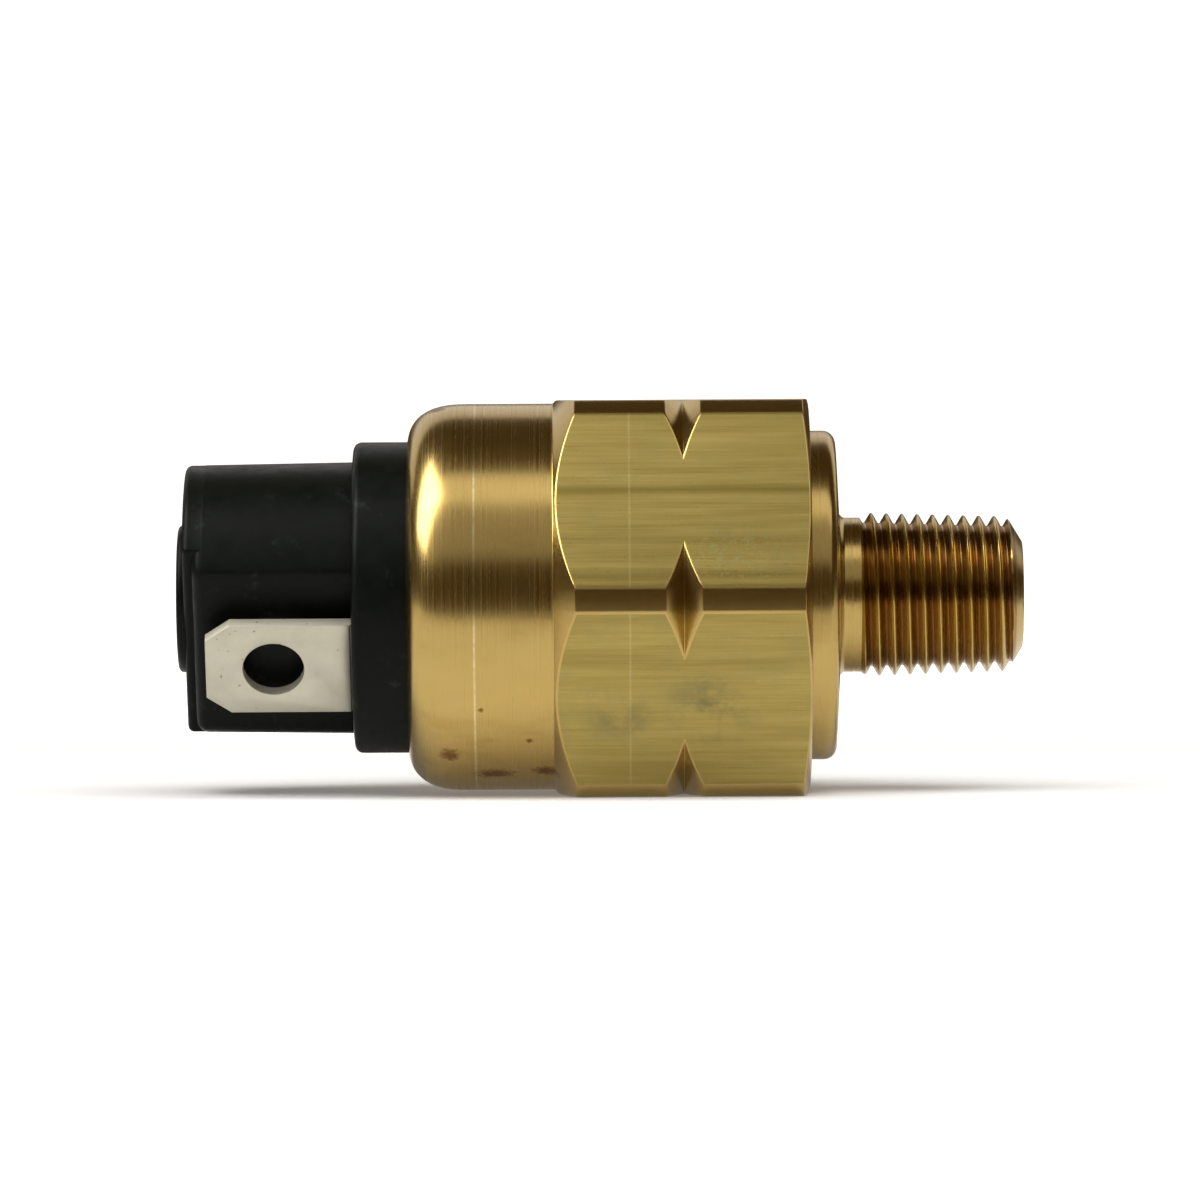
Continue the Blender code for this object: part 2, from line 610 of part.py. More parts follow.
def terminal(side, parent, turn):
    """One tinned brass terminal: a straight blade, a coined leg in the head, and a foot turned in under it."""
    foot_back = FOOT_X - BLADE_THICKNESS
    past_tip = BLADE_TIP_X - BLADE_THICKNESS
    coined_x = COLLAR_X - SEAT_GAP
    leg_out = BLADE_OUT - LEG_COINED
    bend = [(past_tip, -BLADE_IN), (foot_back, -BLADE_IN), (foot_back, -FOOT_END), (FOOT_X, -FOOT_END),
            (FOOT_X, -leg_out), (coined_x, -leg_out), (coined_x, -BLADE_OUT), (past_tip, -BLADE_OUT)]
    strip = prism(f"terminal_{side}", bend, -BLADE_WIDTH, BLADE_WIDTH, "z", parent, TINNED_BRASS, turn)
    seen = t_shape(BLADE_TIP_X, COLLAR_X + BLADE_IN_COLLAR - SEAT_GAP, FOOT_X + BLADE_THICKNESS, 0.0,
                   (BLADE_TIP_CUT, BLADE_TIP_NARROWING))
    face = prism(f"blade_face_guide_{side}", seen, -2 * BLADE_OUT, 0.0, "y", parent, turn=turn)
    hole_x = BLADE_TIP_X + BLADE_HOLE_FROM_TIP
    hole = prism(f"blade_hole_{side}", polygon(SCREW_STEPS, BLADE_HOLE_R, (hole_x, 0.0)), -2 * BLADE_OUT, 0.0,
                 "y", parent, turn=turn)
    rivet_hole = prism(f"rivet_hole_{side}",
                       polygon(SCREW_STEPS, CONTACT_SHANK_R + SEAT_GAP, (-CONTACT_OFFSET, 0.0)),
                       foot_back - BLADE_THICKNESS, FOOT_X + BLADE_THICKNESS, "x", parent, turn=turn)
    boolean(strip, "INTERSECT", face)
    boolean(strip, "DIFFERENCE", hole)
    return boolean(strip, "DIFFERENCE", rivet_hole)


def fixed_contact(side, parent, turn):
    """Silver rivet in a terminal's foot, with a crowned face towards the contact disc."""
    crown = 0.25 * CONTACT_HEIGHT
    shank = CONTACT_HEIGHT + SEAT_GAP + BLADE_THICKNESS
    outline = [(0.0, 0.0), (0.0, 0.5 * CONTACT_R), (-crown, CONTACT_R), (-CONTACT_HEIGHT, CONTACT_R),
               (-CONTACT_HEIGHT, CONTACT_SHANK_R), (-shank, CONTACT_SHANK_R), (-shank, 0.0)]
    made = turned(f"fixed_contact_{side}", outline, SILVER, parent, FIXED_CONTACT_X, SCREW_STEPS,
                  closed=False)
    made.location.y = -CONTACT_OFFSET * math.cos(turn)
    made.location.z = -CONTACT_OFFSET * math.sin(turn)
    return made


def piston(parent):
    """Acetal piston: head against the diaphragm, guided stem, and a spigot for the main spring."""
    head = -PISTON_HEAD_THICKNESS
    step = STEM_STEP_X - PISTON_X
    groove = RING_X + SEAT_GAP / 2 - PISTON_X
    groove_end = RING_X - RING_THICKNESS - SEAT_GAP / 2 - PISTON_X
    top = STEM_TOP_X - PISTON_X
    pin = top - STEM_PIN_LENGTH
    pin_cut = 0.3 * STEM_PIN_R
    outline = [
        (0.0, 0.0), (0.0, PISTON_HEAD_R), (head, PISTON_HEAD_R), (head, STEM_R), (step, STEM_R),
        (step, STEM_TOP_R), (groove, STEM_TOP_R), (groove, STEM_TOP_R - RING_GROOVE),
        (groove_end, STEM_TOP_R - RING_GROOVE), (groove_end, STEM_TOP_R), (top, STEM_TOP_R),
        (top, STEM_PIN_R), (pin + pin_cut, STEM_PIN_R), (pin, STEM_PIN_R - pin_cut), (pin, 0.0),
    ]
    turned("piston", outline, ACETAL, parent, PISTON_X, closed=False)


def contact_carrier(piston_parent, contact_parent):
    """What rides on the stem: spring washer, contact disc and the ring that keeps them on."""
    bore = STEM_TOP_R + SEAT_GAP
    turned("contact_washer", ring_outline(WASHER_THICKNESS, bore, WASHER_R), STEEL, piston_parent, WASHER_X)
    turned("contact_disc", ring_outline(DISC_THICKNESS, bore + SEAT_GAP, DISC_R), SILVER, contact_parent,
           DISC_X)
    ring = turned("retaining_ring", ring_outline(RING_THICKNESS, RING_IN_R, RING_OUT_R), SPRING_STEEL,
                  piston_parent, RING_X, SCREW_STEPS, 2 * math.pi - RING_OPENING)
    ring.rotation_euler.x = RING_OPENING


def coil_spring(name, length, mean_r, wire, coil_pitch, parent, x):
    """A compression spring from 0 towards -X, with a closed coil at each end."""
    closed_pitch = 1.12 * wire
    span = length - wire
    turns = max(1.0, (span - 2 * closed_pitch) / coil_pitch) + 2
    open_pitch = (span - 2 * closed_pitch) / (turns - 2)
    count = round(turns * COIL_STEPS)
    curve = bpy.data.curves.new(name, "CURVE")
    curve.dimensions = "3D"
    curve.bevel_depth = wire / 2
    curve.bevel_resolution = 1
    curve.use_fill_caps = True
    spline = curve.splines.new("POLY")
    spline.points.add(count)
    for i, point in enumerate(spline.points):
        at = turns * i / count
        along = min(at, 1.0) * closed_pitch
        along += max(0.0, min(at, turns - 1) - 1) * open_pitch
        along += max(0.0, at - (turns - 1)) * closed_pitch
        angle = 2 * math.pi * at
        point.co = (-wire / 2 - along, mean_r * math.cos(angle), mean_r * math.sin(angle), 1.0)
    return place(name, curve, SPRING_STEEL, parent, x)


def adjuster_bush(parent):
    """Threaded brass bush moulded into the boss, with a groove that the plastic grips."""
    bore = SCREW_R + RUN_GAP
    third = BUSH_LENGTH / 3
    grip_r = BUSH_R - BUSH_GROOVE
    outline = [(0.0, bore), (0.0, BUSH_R), (third, BUSH_R), (third, grip_r), (2 * third, grip_r),
               (2 * third, BUSH_R), (BUSH_LENGTH, BUSH_R), (BUSH_LENGTH, bore)]
    turned("adjuster_bush", outline, BRASS, parent, BUSH_X)


def adjuster_screw(parent):
    """Socket set screw with a dog point, which sets the main spring's load."""
    chamfer = SCREW_THREAD_DEPTH
    root_r = SCREW_R - SCREW_THREAD_DEPTH

    def radius(px, height):
        return root_r + height * min(SCREW_THREAD_DEPTH, px, SCREW_LENGTH - px)

    thread = (SCREW_PITCH, v_thread(SCREW_PITCH, SCREW_THREAD_DEPTH, SCREW_PITCH / 8), radius)
    tip = SCREW_LENGTH + SCREW_DOG_LENGTH
    core_r = SOCKET_ACROSS_FLATS / 10
    before = [(0.0, core_r), (0.0, root_r)]
    after = [(SCREW_LENGTH, root_r), (SCREW_LENGTH, SCREW_DOG_R), (tip - chamfer / 2, SCREW_DOG_R),
             (tip, SCREW_DOG_R - chamfer / 2), (tip, core_r)]
    screw = threaded("adjuster_screw", before, thread, after, STEEL, parent, SCREW_X, SCREW_STEPS)
    core = prism("screw_core", polygon(SCREW_STEPS, 1.5 * core_r), SCREW_X + SOCKET_DEPTH - chamfer,
                 DOG_TIP_X - chamfer / 4, "x", parent)
    socket = prism("screw_socket", polygon(6, SOCKET_ACROSS_FLATS / 2), SCREW_X - SCREW_LENGTH,
                   SCREW_X + SOCKET_DEPTH, "x", parent)
    boolean(screw, "UNION", core)
    return boolean(screw, "DIFFERENCE", socket)


def spring_seat(parent):
    """Steel button that turns the screw's point load into an even load on the spring."""
    outline = [(0.0, 0.0), (0.0, SEAT_R), (SEAT_THICKNESS, SEAT_R), (SEAT_THICKNESS, STEM_PIN_R),
               (SEAT_THICKNESS + SEAT_PIN_LENGTH, STEM_PIN_R), (SEAT_THICKNESS + SEAT_PIN_LENGTH, 0.0)]
    turned("spring_seat", outline, STEEL, parent, SPRING_SEAT_X, closed=False)


def main():
    clear_scene()
    casing = empty("casing")
    piston_group = empty("piston_group", parent=casing)
    contact_group = empty("contact_group", parent=piston_group)
    seat_group = empty("seat_group", parent=casing)
    screw_group = empty("screw_group", parent=seat_group)

    hex_body(casing)
    diaphragm_o_ring(casing)
    diaphragm(casing)
    guide_plate(casing)
    spacer_sleeve(casing)
    head_gasket(casing)
    terminal_head(casing, TERMINAL_TURN)
    for side, turn in (("a", TERMINAL_TURN), ("b", TERMINAL_TURN + math.pi)):
        terminal(side, casing, turn)
        fixed_contact(side, casing, turn)
    adjuster_bush(casing)

    piston(piston_group)
    contact_carrier(piston_group, contact_group)
    coil_spring("contact_spring", CONTACT_SPRING_LENGTH, CONTACT_SPRING_R, CONTACT_SPRING_WIRE,
                CONTACT_SPRING_WIRE * 1.5, piston_group, CONTACT_SPRING_X)

    spring_seat(seat_group)
    spring_start = STEM_TOP_X - SEAT_GAP
    spring_length = spring_start - (SPRING_SEAT_X + SEAT_THICKNESS + SEAT_GAP)
    coil_spring("main_spring", spring_length, SPRING_R, SPRING_WIRE, SPRING_COIL_PITCH, seat_group,
                spring_start)
    adjuster_screw(screw_group)


main()
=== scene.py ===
import math

import bmesh
import bpy
from mathutils import Matrix, Vector


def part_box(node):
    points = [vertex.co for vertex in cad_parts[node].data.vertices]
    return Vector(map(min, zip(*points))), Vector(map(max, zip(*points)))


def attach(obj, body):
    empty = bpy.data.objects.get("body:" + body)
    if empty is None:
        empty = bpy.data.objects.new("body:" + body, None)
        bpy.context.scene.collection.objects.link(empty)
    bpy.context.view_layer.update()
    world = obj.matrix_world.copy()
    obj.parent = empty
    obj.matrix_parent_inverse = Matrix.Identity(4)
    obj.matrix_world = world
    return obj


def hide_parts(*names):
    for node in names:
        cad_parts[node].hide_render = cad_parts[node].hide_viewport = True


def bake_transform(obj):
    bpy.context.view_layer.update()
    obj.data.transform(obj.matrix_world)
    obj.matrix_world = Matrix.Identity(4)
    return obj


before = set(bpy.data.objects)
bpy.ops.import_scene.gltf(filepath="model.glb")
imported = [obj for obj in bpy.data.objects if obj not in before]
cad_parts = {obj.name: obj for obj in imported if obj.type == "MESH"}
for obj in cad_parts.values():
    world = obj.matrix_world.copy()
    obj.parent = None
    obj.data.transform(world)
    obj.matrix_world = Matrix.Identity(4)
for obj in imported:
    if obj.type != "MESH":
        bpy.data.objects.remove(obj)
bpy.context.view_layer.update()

MM = 0.001

# ---------------------------------------------------------------------------------------------------------
# The pipe thread: the end of the brass body, cut with a 60 degree tool to a 1 in 16 taper. Its crests are
# narrow flats that fade out towards the neck, and the tip is chamfered. One tree makes any such thread.

PITCH = 25.4 / 27 * MM
TIP_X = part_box("hex_body")[1][0]
THREAD_LENGTH = 9.90 * MM
THREAD_ROOT_R = 4.09 * MM
THREAD_TAPER = 1 / 32
NECK_X = TIP_X - THREAD_LENGTH
NECK_R = 4.72 * MM
TIP_FACE_R = 3.25 * MM
COLUMNS = 300
POINTS_PER_PITCH = 12


def adder(tree):
    """The function that adds a node to this tree, sets what it is told, and links or sets its inputs.

    Inputs come in a dict or in order. A kind in capitals is a Math node with that operation. It gives the
    node's first output in use.
    """
    def add(kind, *inputs, **settings):
        if kind.isupper():
            kind, settings = "ShaderNodeMath", {"operation": kind}
        made = tree.nodes.new(kind)
        for name, value in settings.items():
            setattr(made, name, value)
        in_a_dict = inputs and isinstance(inputs[0], dict)
        for name, value in (inputs[0] if in_a_dict else dict(enumerate(inputs))).items():
            if isinstance(value, bpy.types.NodeSocket):
                tree.links.new(value, made.inputs[name])
            else:
                made.inputs[name].default_value = value
        return next((output for output in made.outputs if output.enabled), made)

    return add


def new_tree(name, sizes, counts):
    """An empty Geometry Nodes tree, the function that adds its nodes, and its named inputs."""
    tree = bpy.data.node_groups.new(name, "GeometryNodeTree")
    kinds = {**dict.fromkeys(sizes, "Float"), **dict.fromkeys(counts, "Int"), "Material": "Material"}
    for label, kind in kinds.items():
        tree.interface.new_socket(label, in_out="INPUT", socket_type=f"NodeSocket{kind}")
    tree.interface.new_socket("Geometry", in_out="OUTPUT", socket_type="NodeSocketGeometry")
    add = adder(tree)
    return tree, add, add("NodeGroupInput").node.outputs


def thread_tree():
    """A grid of helical rows by columns, bent round the X axis, with its radius worked out at each point."""
    tree, add, size = new_tree("cut_thread", (
        "Pitch", "Start", "End", "Root radius", "Taper", "Depth", "Crest", "Neck radius", "Run-out",
        "Tip radius", "Chamfer"), ("Rows", "Columns", "Points per pitch"))
    last_row = add("SUBTRACT", size["Rows"], 1.0)
    grid = add("GeometryNodeMeshGrid", {"Size X": last_row, "Size Y": 1.0, "Vertices X": size["Rows"],
                                        "Vertices Y": add("ADD", size["Columns"], 1.0)})
    place = add("ShaderNodeSeparateXYZ", add("GeometryNodeInputPosition")).node.outputs
    row = add("ROUND", add("ADD", place["X"], add("MULTIPLY", last_row, 0.5)))
    turn = add("ADD", place["Y"], 0.5)
    along = add("DIVIDE", row, size["Points per pitch"])
    helix = add("MULTIPLY", size["Pitch"], add("SUBTRACT", add("ADD", along, turn), 1.0))
    x = add("MINIMUM", add("MAXIMUM", add("ADD", size["Start"], helix), size["Start"]), size["End"])

    off_crest = add("MULTIPLY", add("ABSOLUTE", add("SUBTRACT", add("FRACT", along), 0.5)), size["Pitch"])
    flank = add("MULTIPLY", size["Depth"], math.tan(math.radians(30)))
    down = add("DIVIDE", add("SUBTRACT", off_crest, add("MULTIPLY", size["Crest"], 0.5)), flank)
    height = add("SUBTRACT", 1.0, add("MINIMUM", add("MAXIMUM", down, 0.0), 1.0))
    from_end = add("SUBTRACT", size["End"], x)
    root = add("ADD", size["Root radius"], add("MULTIPLY", from_end, size["Taper"]))
    crest = add("ADD", root, add("MULTIPLY", height, size["Depth"]))
    past_neck = add("MULTIPLY", add("SUBTRACT", x, size["Start"]), size["Run-out"])
    run_out = add("ADD", size["Neck radius"], past_neck)
    chamfer = add("ADD", size["Tip radius"], add("MULTIPLY", from_end, size["Chamfer"]))
    radius = add("MINIMUM", add("MINIMUM", crest, add("MAXIMUM", root, run_out)), chamfer)

    angle = add("MULTIPLY", turn, 2 * math.pi)
    bent = add("ShaderNodeCombineXYZ", x, add("MULTIPLY", radius, add("COSINE", angle)),
               add("MULTIPLY", radius, add("SINE", angle)))
    surface = add("GeometryNodeSetPosition", {"Geometry": grid, "Position": bent})
    whole = add("GeometryNodeMergeByDistance", {"Geometry": surface, "Distance": 2e-7})
    real = add("GeometryNodeRealizeInstances", {"Geometry": whole})
    dressed = add("GeometryNodeSetMaterial", {"Geometry": real, "Material": size["Material"]})
    add("NodeGroupOutput", {"Geometry": dressed})
    return tree


def placed(name, data):
    """A new object in the scene."""
    made = bpy.data.objects.new(name, data)
    bpy.context.scene.collection.objects.link(made)
    return made


def made_by(tree, name, values):
    """The plain mesh that a tree makes from its named inputs."""
    holder = placed(name, bpy.data.meshes.new(name))
    modifier = holder.modifiers.new(name, "NODES")
    modifier.node_group = tree
    for item in tree.interface.items_tree:
        if item.in_out == "INPUT" and item.name in values:
            modifier[item.identifier] = values[item.name]
    graph = bpy.context.evaluated_depsgraph_get()
    mesh = bpy.data.meshes.new_from_object(holder.evaluated_get(graph))
    bpy.data.objects.remove(holder)
    return mesh


cut_thread = thread_tree()
pipe_thread = made_by(cut_thread, "pipe_thread", {
    "Pitch": PITCH, "Start": NECK_X, "End": TIP_X, "Root radius": THREAD_ROOT_R, "Taper": THREAD_TAPER,
    "Depth": 0.63 * MM, "Crest": 0.10 * MM, "Neck radius": NECK_R, "Run-out": 0.6,
    "Tip radius": TIP_FACE_R, "Chamfer": 1.64, "Points per pitch": POINTS_PER_PITCH, "Columns": COLUMNS,
    "Rows": POINTS_PER_PITCH * (math.ceil(THREAD_LENGTH / PITCH) + 2)})

# ---------------------------------------------------------------------------------------------------------
# The body: 24 mm hexagon brass bar, drawn, then turned at both ends. The turned land on its corners, the
# V-groove round its middle and the chamfers meet the flats in curves, and every edge is barely broken.

FLAT_R = 12.0 * MM
LAND_R = 13.42 * MM
SLEEVE_R = 11.8 * MM
FLANGE_R = 10.05 * MM
FLANGE_X = NECK_X - 1.27 * MM
HEX_PORT_X = FLANGE_X - 1.87 * MM
HEX_HEAD_X = HEX_PORT_X - 15.40 * MM
LIP_X = HEX_HEAD_X - 9.06 * MM
GROOVE_X = (HEX_PORT_X + HEX_HEAD_X) / 2
GROOVE_R = LAND_R - 1.09 * MM
CRIMP_R = 2.70 * MM
CRIMP_REACH = 3.60 * MM
CRIMP_WALL = 0.90 * MM
CRIMP_FULLNESS = 0.80
LIP_HOLE_R = 9.60 * MM
BROKEN_EDGE = 0.09 * MM


def rolled(centre_x, centre_r, reach, radius, start, end, steps, fullness=1.0):
    """Points (x, r, 0) on an ellipse's arc, in degrees from +X. A fullness below 1 makes it squarer."""
    points = []
    for i in range(steps + 1):
        a = math.radians(start + (end - start) * i / steps)
        along, up = (math.copysign(abs(v) ** fullness, v) if abs(v) > 1e-9 else 0.0
                     for v in (math.cos(a), math.sin(a)))
        points.append((centre_x + reach * along, centre_r + radius * up, 0.0))
    return points


def eased(path, steps=4):
    """The (x, r) points of a path of (x, r, ease), with each eased corner rounded from that far before it."""
    points = []
    for i, (x, r, ease) in enumerate(path):
        if not ease or i in (0, len(path) - 1):
            points.append((x, r))
            continue
        ends = []
        for other in (path[i - 1], path[i + 1]):
            length = math.hypot(other[0] - x, other[1] - r)
            share = min(ease / length, 0.45) if length else 0.0
            ends.append((x + (other[0] - x) * share, r + (other[1] - r) * share))
        for k in range(steps + 1):
            t = k / steps
            weights = (1 - t) ** 2, 2 * t * (1 - t), t ** 2
            corners = (ends[0], (x, r), ends[1])
            points.append(tuple(sum(w * c[axis] for w, c in zip(weights, corners)) for axis in (0, 1)))
    return points


def lip_angle(centre_r, radius, r):
    return 180 - math.degrees(math.asin(((r - centre_r) / radius) ** (1 / CRIMP_FULLNESS)))


def body_outside(rho):
    """From the lip to the neck, where the bar's own surface is rho from the axis."""
    round_r = SLEEVE_R - CRIMP_R
    sleeve_end_x = HEX_HEAD_X - 0.164 * MM
    face_r = FLAT_R - 0.218 * MM
    head_slope, port_slope = 0.82, 0.27
    depth = max(rho - GROOVE_R, 0.02 * MM)
    bottom = min(rho, GROOVE_R)
    flange_round = 0.75 * MM
    flange_flat = 0.23 * MM
    fillet = 0.25 * MM
    return [
        *rolled(LIP_X + CRIMP_REACH, round_r, CRIMP_REACH, CRIMP_R,
                lip_angle(round_r, CRIMP_R, LIP_HOLE_R), 90, 24, CRIMP_FULLNESS),
        (sleeve_end_x, SLEEVE_R, 0.06 * MM),
        (HEX_HEAD_X + (rho - FLAT_R) * head_slope, rho, BROKEN_EDGE),
        (GROOVE_X - depth, rho, BROKEN_EDGE),
        (GROOVE_X, bottom, 0.05 * MM),
        (GROOVE_X + depth, rho, BROKEN_EDGE),
        (HEX_PORT_X - (rho - face_r) * port_slope, rho, BROKEN_EDGE),
        (HEX_PORT_X, face_r, 0.06 * MM),
        (HEX_PORT_X, FLANGE_R, 0.04 * MM),
        *rolled(FLANGE_X - flange_round - flange_flat, FLANGE_R - flange_round, flange_round, flange_round,
                90, 0, 8),
        (FLANGE_X, NECK_R + fillet, 0.08 * MM),
        (FLANGE_X + fillet, NECK_R, 0.08 * MM),
        (NECK_X, NECK_R, 0.0),
    ]


def body_inside():
    """From the thread's tip through the port and the bore to the lip."""
    floor_x = HEX_PORT_X - 3.56 * MM
    well_x, groove_x = floor_x + 0.80 * MM, floor_x + 1.00 * MM
    step_x = LIP_X + 6.0 * MM
    port_r, well_r, bore_r, collar_bore_r = 1.60 * MM, 4.00 * MM, 9.40 * MM, 10.85 * MM
    groove_low_r, groove_high_r = 6.60 * MM, 8.60 * MM
    lip_round = CRIMP_R - CRIMP_WALL
    round_r = collar_bore_r - lip_round
    return [
        (TIP_X, TIP_FACE_R, 0.0),
        (TIP_X, 2.10 * MM, 0.10 * MM),
        (TIP_X - 0.50 * MM, port_r, 0.08 * MM),
        *[(x, r, 0.0) for x, r in (
            (well_x, port_r), (well_x, well_r), (floor_x, well_r),
            (floor_x, groove_low_r), (groove_x, groove_low_r), (groove_x, groove_high_r), (floor_x, groove_high_r),
            (floor_x, bore_r), (step_x, bore_r), (step_x, collar_bore_r))],
        *rolled(LIP_X + CRIMP_REACH, round_r, CRIMP_REACH - CRIMP_WALL, lip_round, 90,
                lip_angle(round_r, lip_round, LIP_HOLE_R), 6, CRIMP_FULLNESS),
        (*body_outside(FLAT_R)[0][:2], 0.0),
    ]


def corner_angle(step):
    """A column's angle. Those beside each corner lie on the edges of the turned land."""
    angle = 360 * step / COLUMNS
    off = (angle + 30) % 60 - 30
    if 3.0 < abs(off) < 4.2:
        angle += math.copysign(math.degrees(math.pi / 6 - math.acos(FLAT_R / LAND_R)), off) - off
    return math.radians(angle)


def bar_radius(angle):
    from_flat = abs(math.degrees(angle) % 60 - 30)
    return min(FLAT_R / math.cos(math.radians(from_flat)), LAND_R)


def column(bm, outline, angle, last_angle=None):
    """An (x, r) outline's points at an angle round the X axis. Its last point can have its own angle."""
    angles = [angle] * (len(outline) - 1) + [angle if last_angle is None else last_angle]
    return [bm.verts.new((x, r * math.cos(a), r * math.sin(a))) for (x, r), a in zip(outline, angles)]


def skin(bm, rows, around=True, closed=False):
    """Faces between each row of points and the next.

    Around joins the last row to the first one, and closed joins the end of each row to its start.
    """
    for near, far in zip(rows, rows[1:] + rows[:1] if around else rows[1:]):
        if closed:
            near, far = near + near[:1], far + far[:1]
        for corners in zip(near, near[1:], far[1:], far):
            bm.faces.new(corners)


def plain_mesh(name, bm):
    """The mesh of a finished bmesh, which is used up."""
    mesh = bpy.data.meshes.new(name)
    bm.to_mesh(mesh)
    bm.free()
    return mesh


def body_mesh():
    """The outside is a column of points for each angle, so that its rows follow every meeting curve."""
    bm = bmesh.new()
    outside, inside = [], []
    for i in range(COLUMNS):
        even, angle = 2 * math.pi * i / COLUMNS, corner_angle(i)
        outside.append(column(bm, eased(body_outside(bar_radius(angle))), angle, even))
        inside.append(column(bm, eased(body_inside()), even, angle))
    skin(bm, outside)
    skin(bm, inside)
    bm.from_mesh(pipe_thread)
    bmesh.ops.remove_doubles(bm, verts=bm.verts, dist=1.5e-6)
    bmesh.ops.dissolve_degenerate(bm, edges=bm.edges, dist=1e-7)
    bmesh.ops.recalc_face_normals(bm, faces=bm.faces)
    for face in bm.faces:
        x, y, z = face.calc_center_median()
        across = max(abs(face.normal.y * math.cos(t) + face.normal.z * math.sin(t))
                     for t in (math.pi / 6, math.pi / 2, 5 * math.pi / 6))
        on_bar = HEX_HEAD_X < x < HEX_PORT_X and math.hypot(y, z) > FLAT_R - 0.1 * MM
        face.material_index = int(on_bar and across > 0.9995)
    return plain_mesh("brass_body", bm)


def linear(hex_colour):
    """A shader colour from an sRGB hex value."""
    shares = [int(hex_colour[i:i + 2], 16) / 255 for i in (1, 3, 5)]
    return (*[s / 12.92 if s <= 0.04045 else ((s + 0.055) / 1.055) ** 2.4 for s in shares], 1.0)


def finish(name, **settings):
    """A new material, the function that adds its nodes, and its Object coordinates."""
    made = bpy.data.materials.new(name)
    made.use_nodes = True
    shader = made.node_tree.nodes["Principled BSDF"]
    for key, value in settings.items():
        shader.inputs[key.replace("_", " ")].default_value = value
    add = adder(made.node_tree)
    return made, add, add("ShaderNodeTexCoord").node.outputs["Object"]


def coated(add, colour, *coats):
    """A colour under coats that are each a share and a hex colour, the last one on top."""
    for share, over in coats:
        colour = add("ShaderNodeMix", {"Factor": share, 6: colour, 7: linear(over)}, data_type="RGBA")
    return colour


def surfaced(made, add, colour, rough, height, strength, depth):
    """The material, with this colour, roughness and bump linked to its shader."""
    bump = add("ShaderNodeBump", {"Height": height, "Strength": strength, "Distance": depth})
    shader = made.node_tree.nodes["Principled BSDF"].inputs
    for name, value in (("Base Color", colour), ("Roughness", rough), ("Normal", bump)):
        made.node_tree.links.new(value, shader[name])
    return made


def far_from(add, place, centre, sizes):
    """How far a point is from a patch's centre, where 1 is the edge of a patch of these three sizes."""
    away = add("ShaderNodeVectorMath", place, centre, operation="SUBTRACT")
    sized = add("ShaderNodeVectorMath", away, tuple(1 / size for size in sizes), operation="MULTIPLY")
    return add("ShaderNodeVectorMath", sized, operation="LENGTH")


def scribed(add, along, at, depth):
    """The ring that a gauge has scribed round the body at one place along it."""
    off = add("ABSOLUTE", add("SUBTRACT", along, at))
    return add("ShaderNodeMapRange", {"Value": off, "From Min": 0.09 * MM, "From Max": 0.03 * MM,
                                      "To Max": depth})


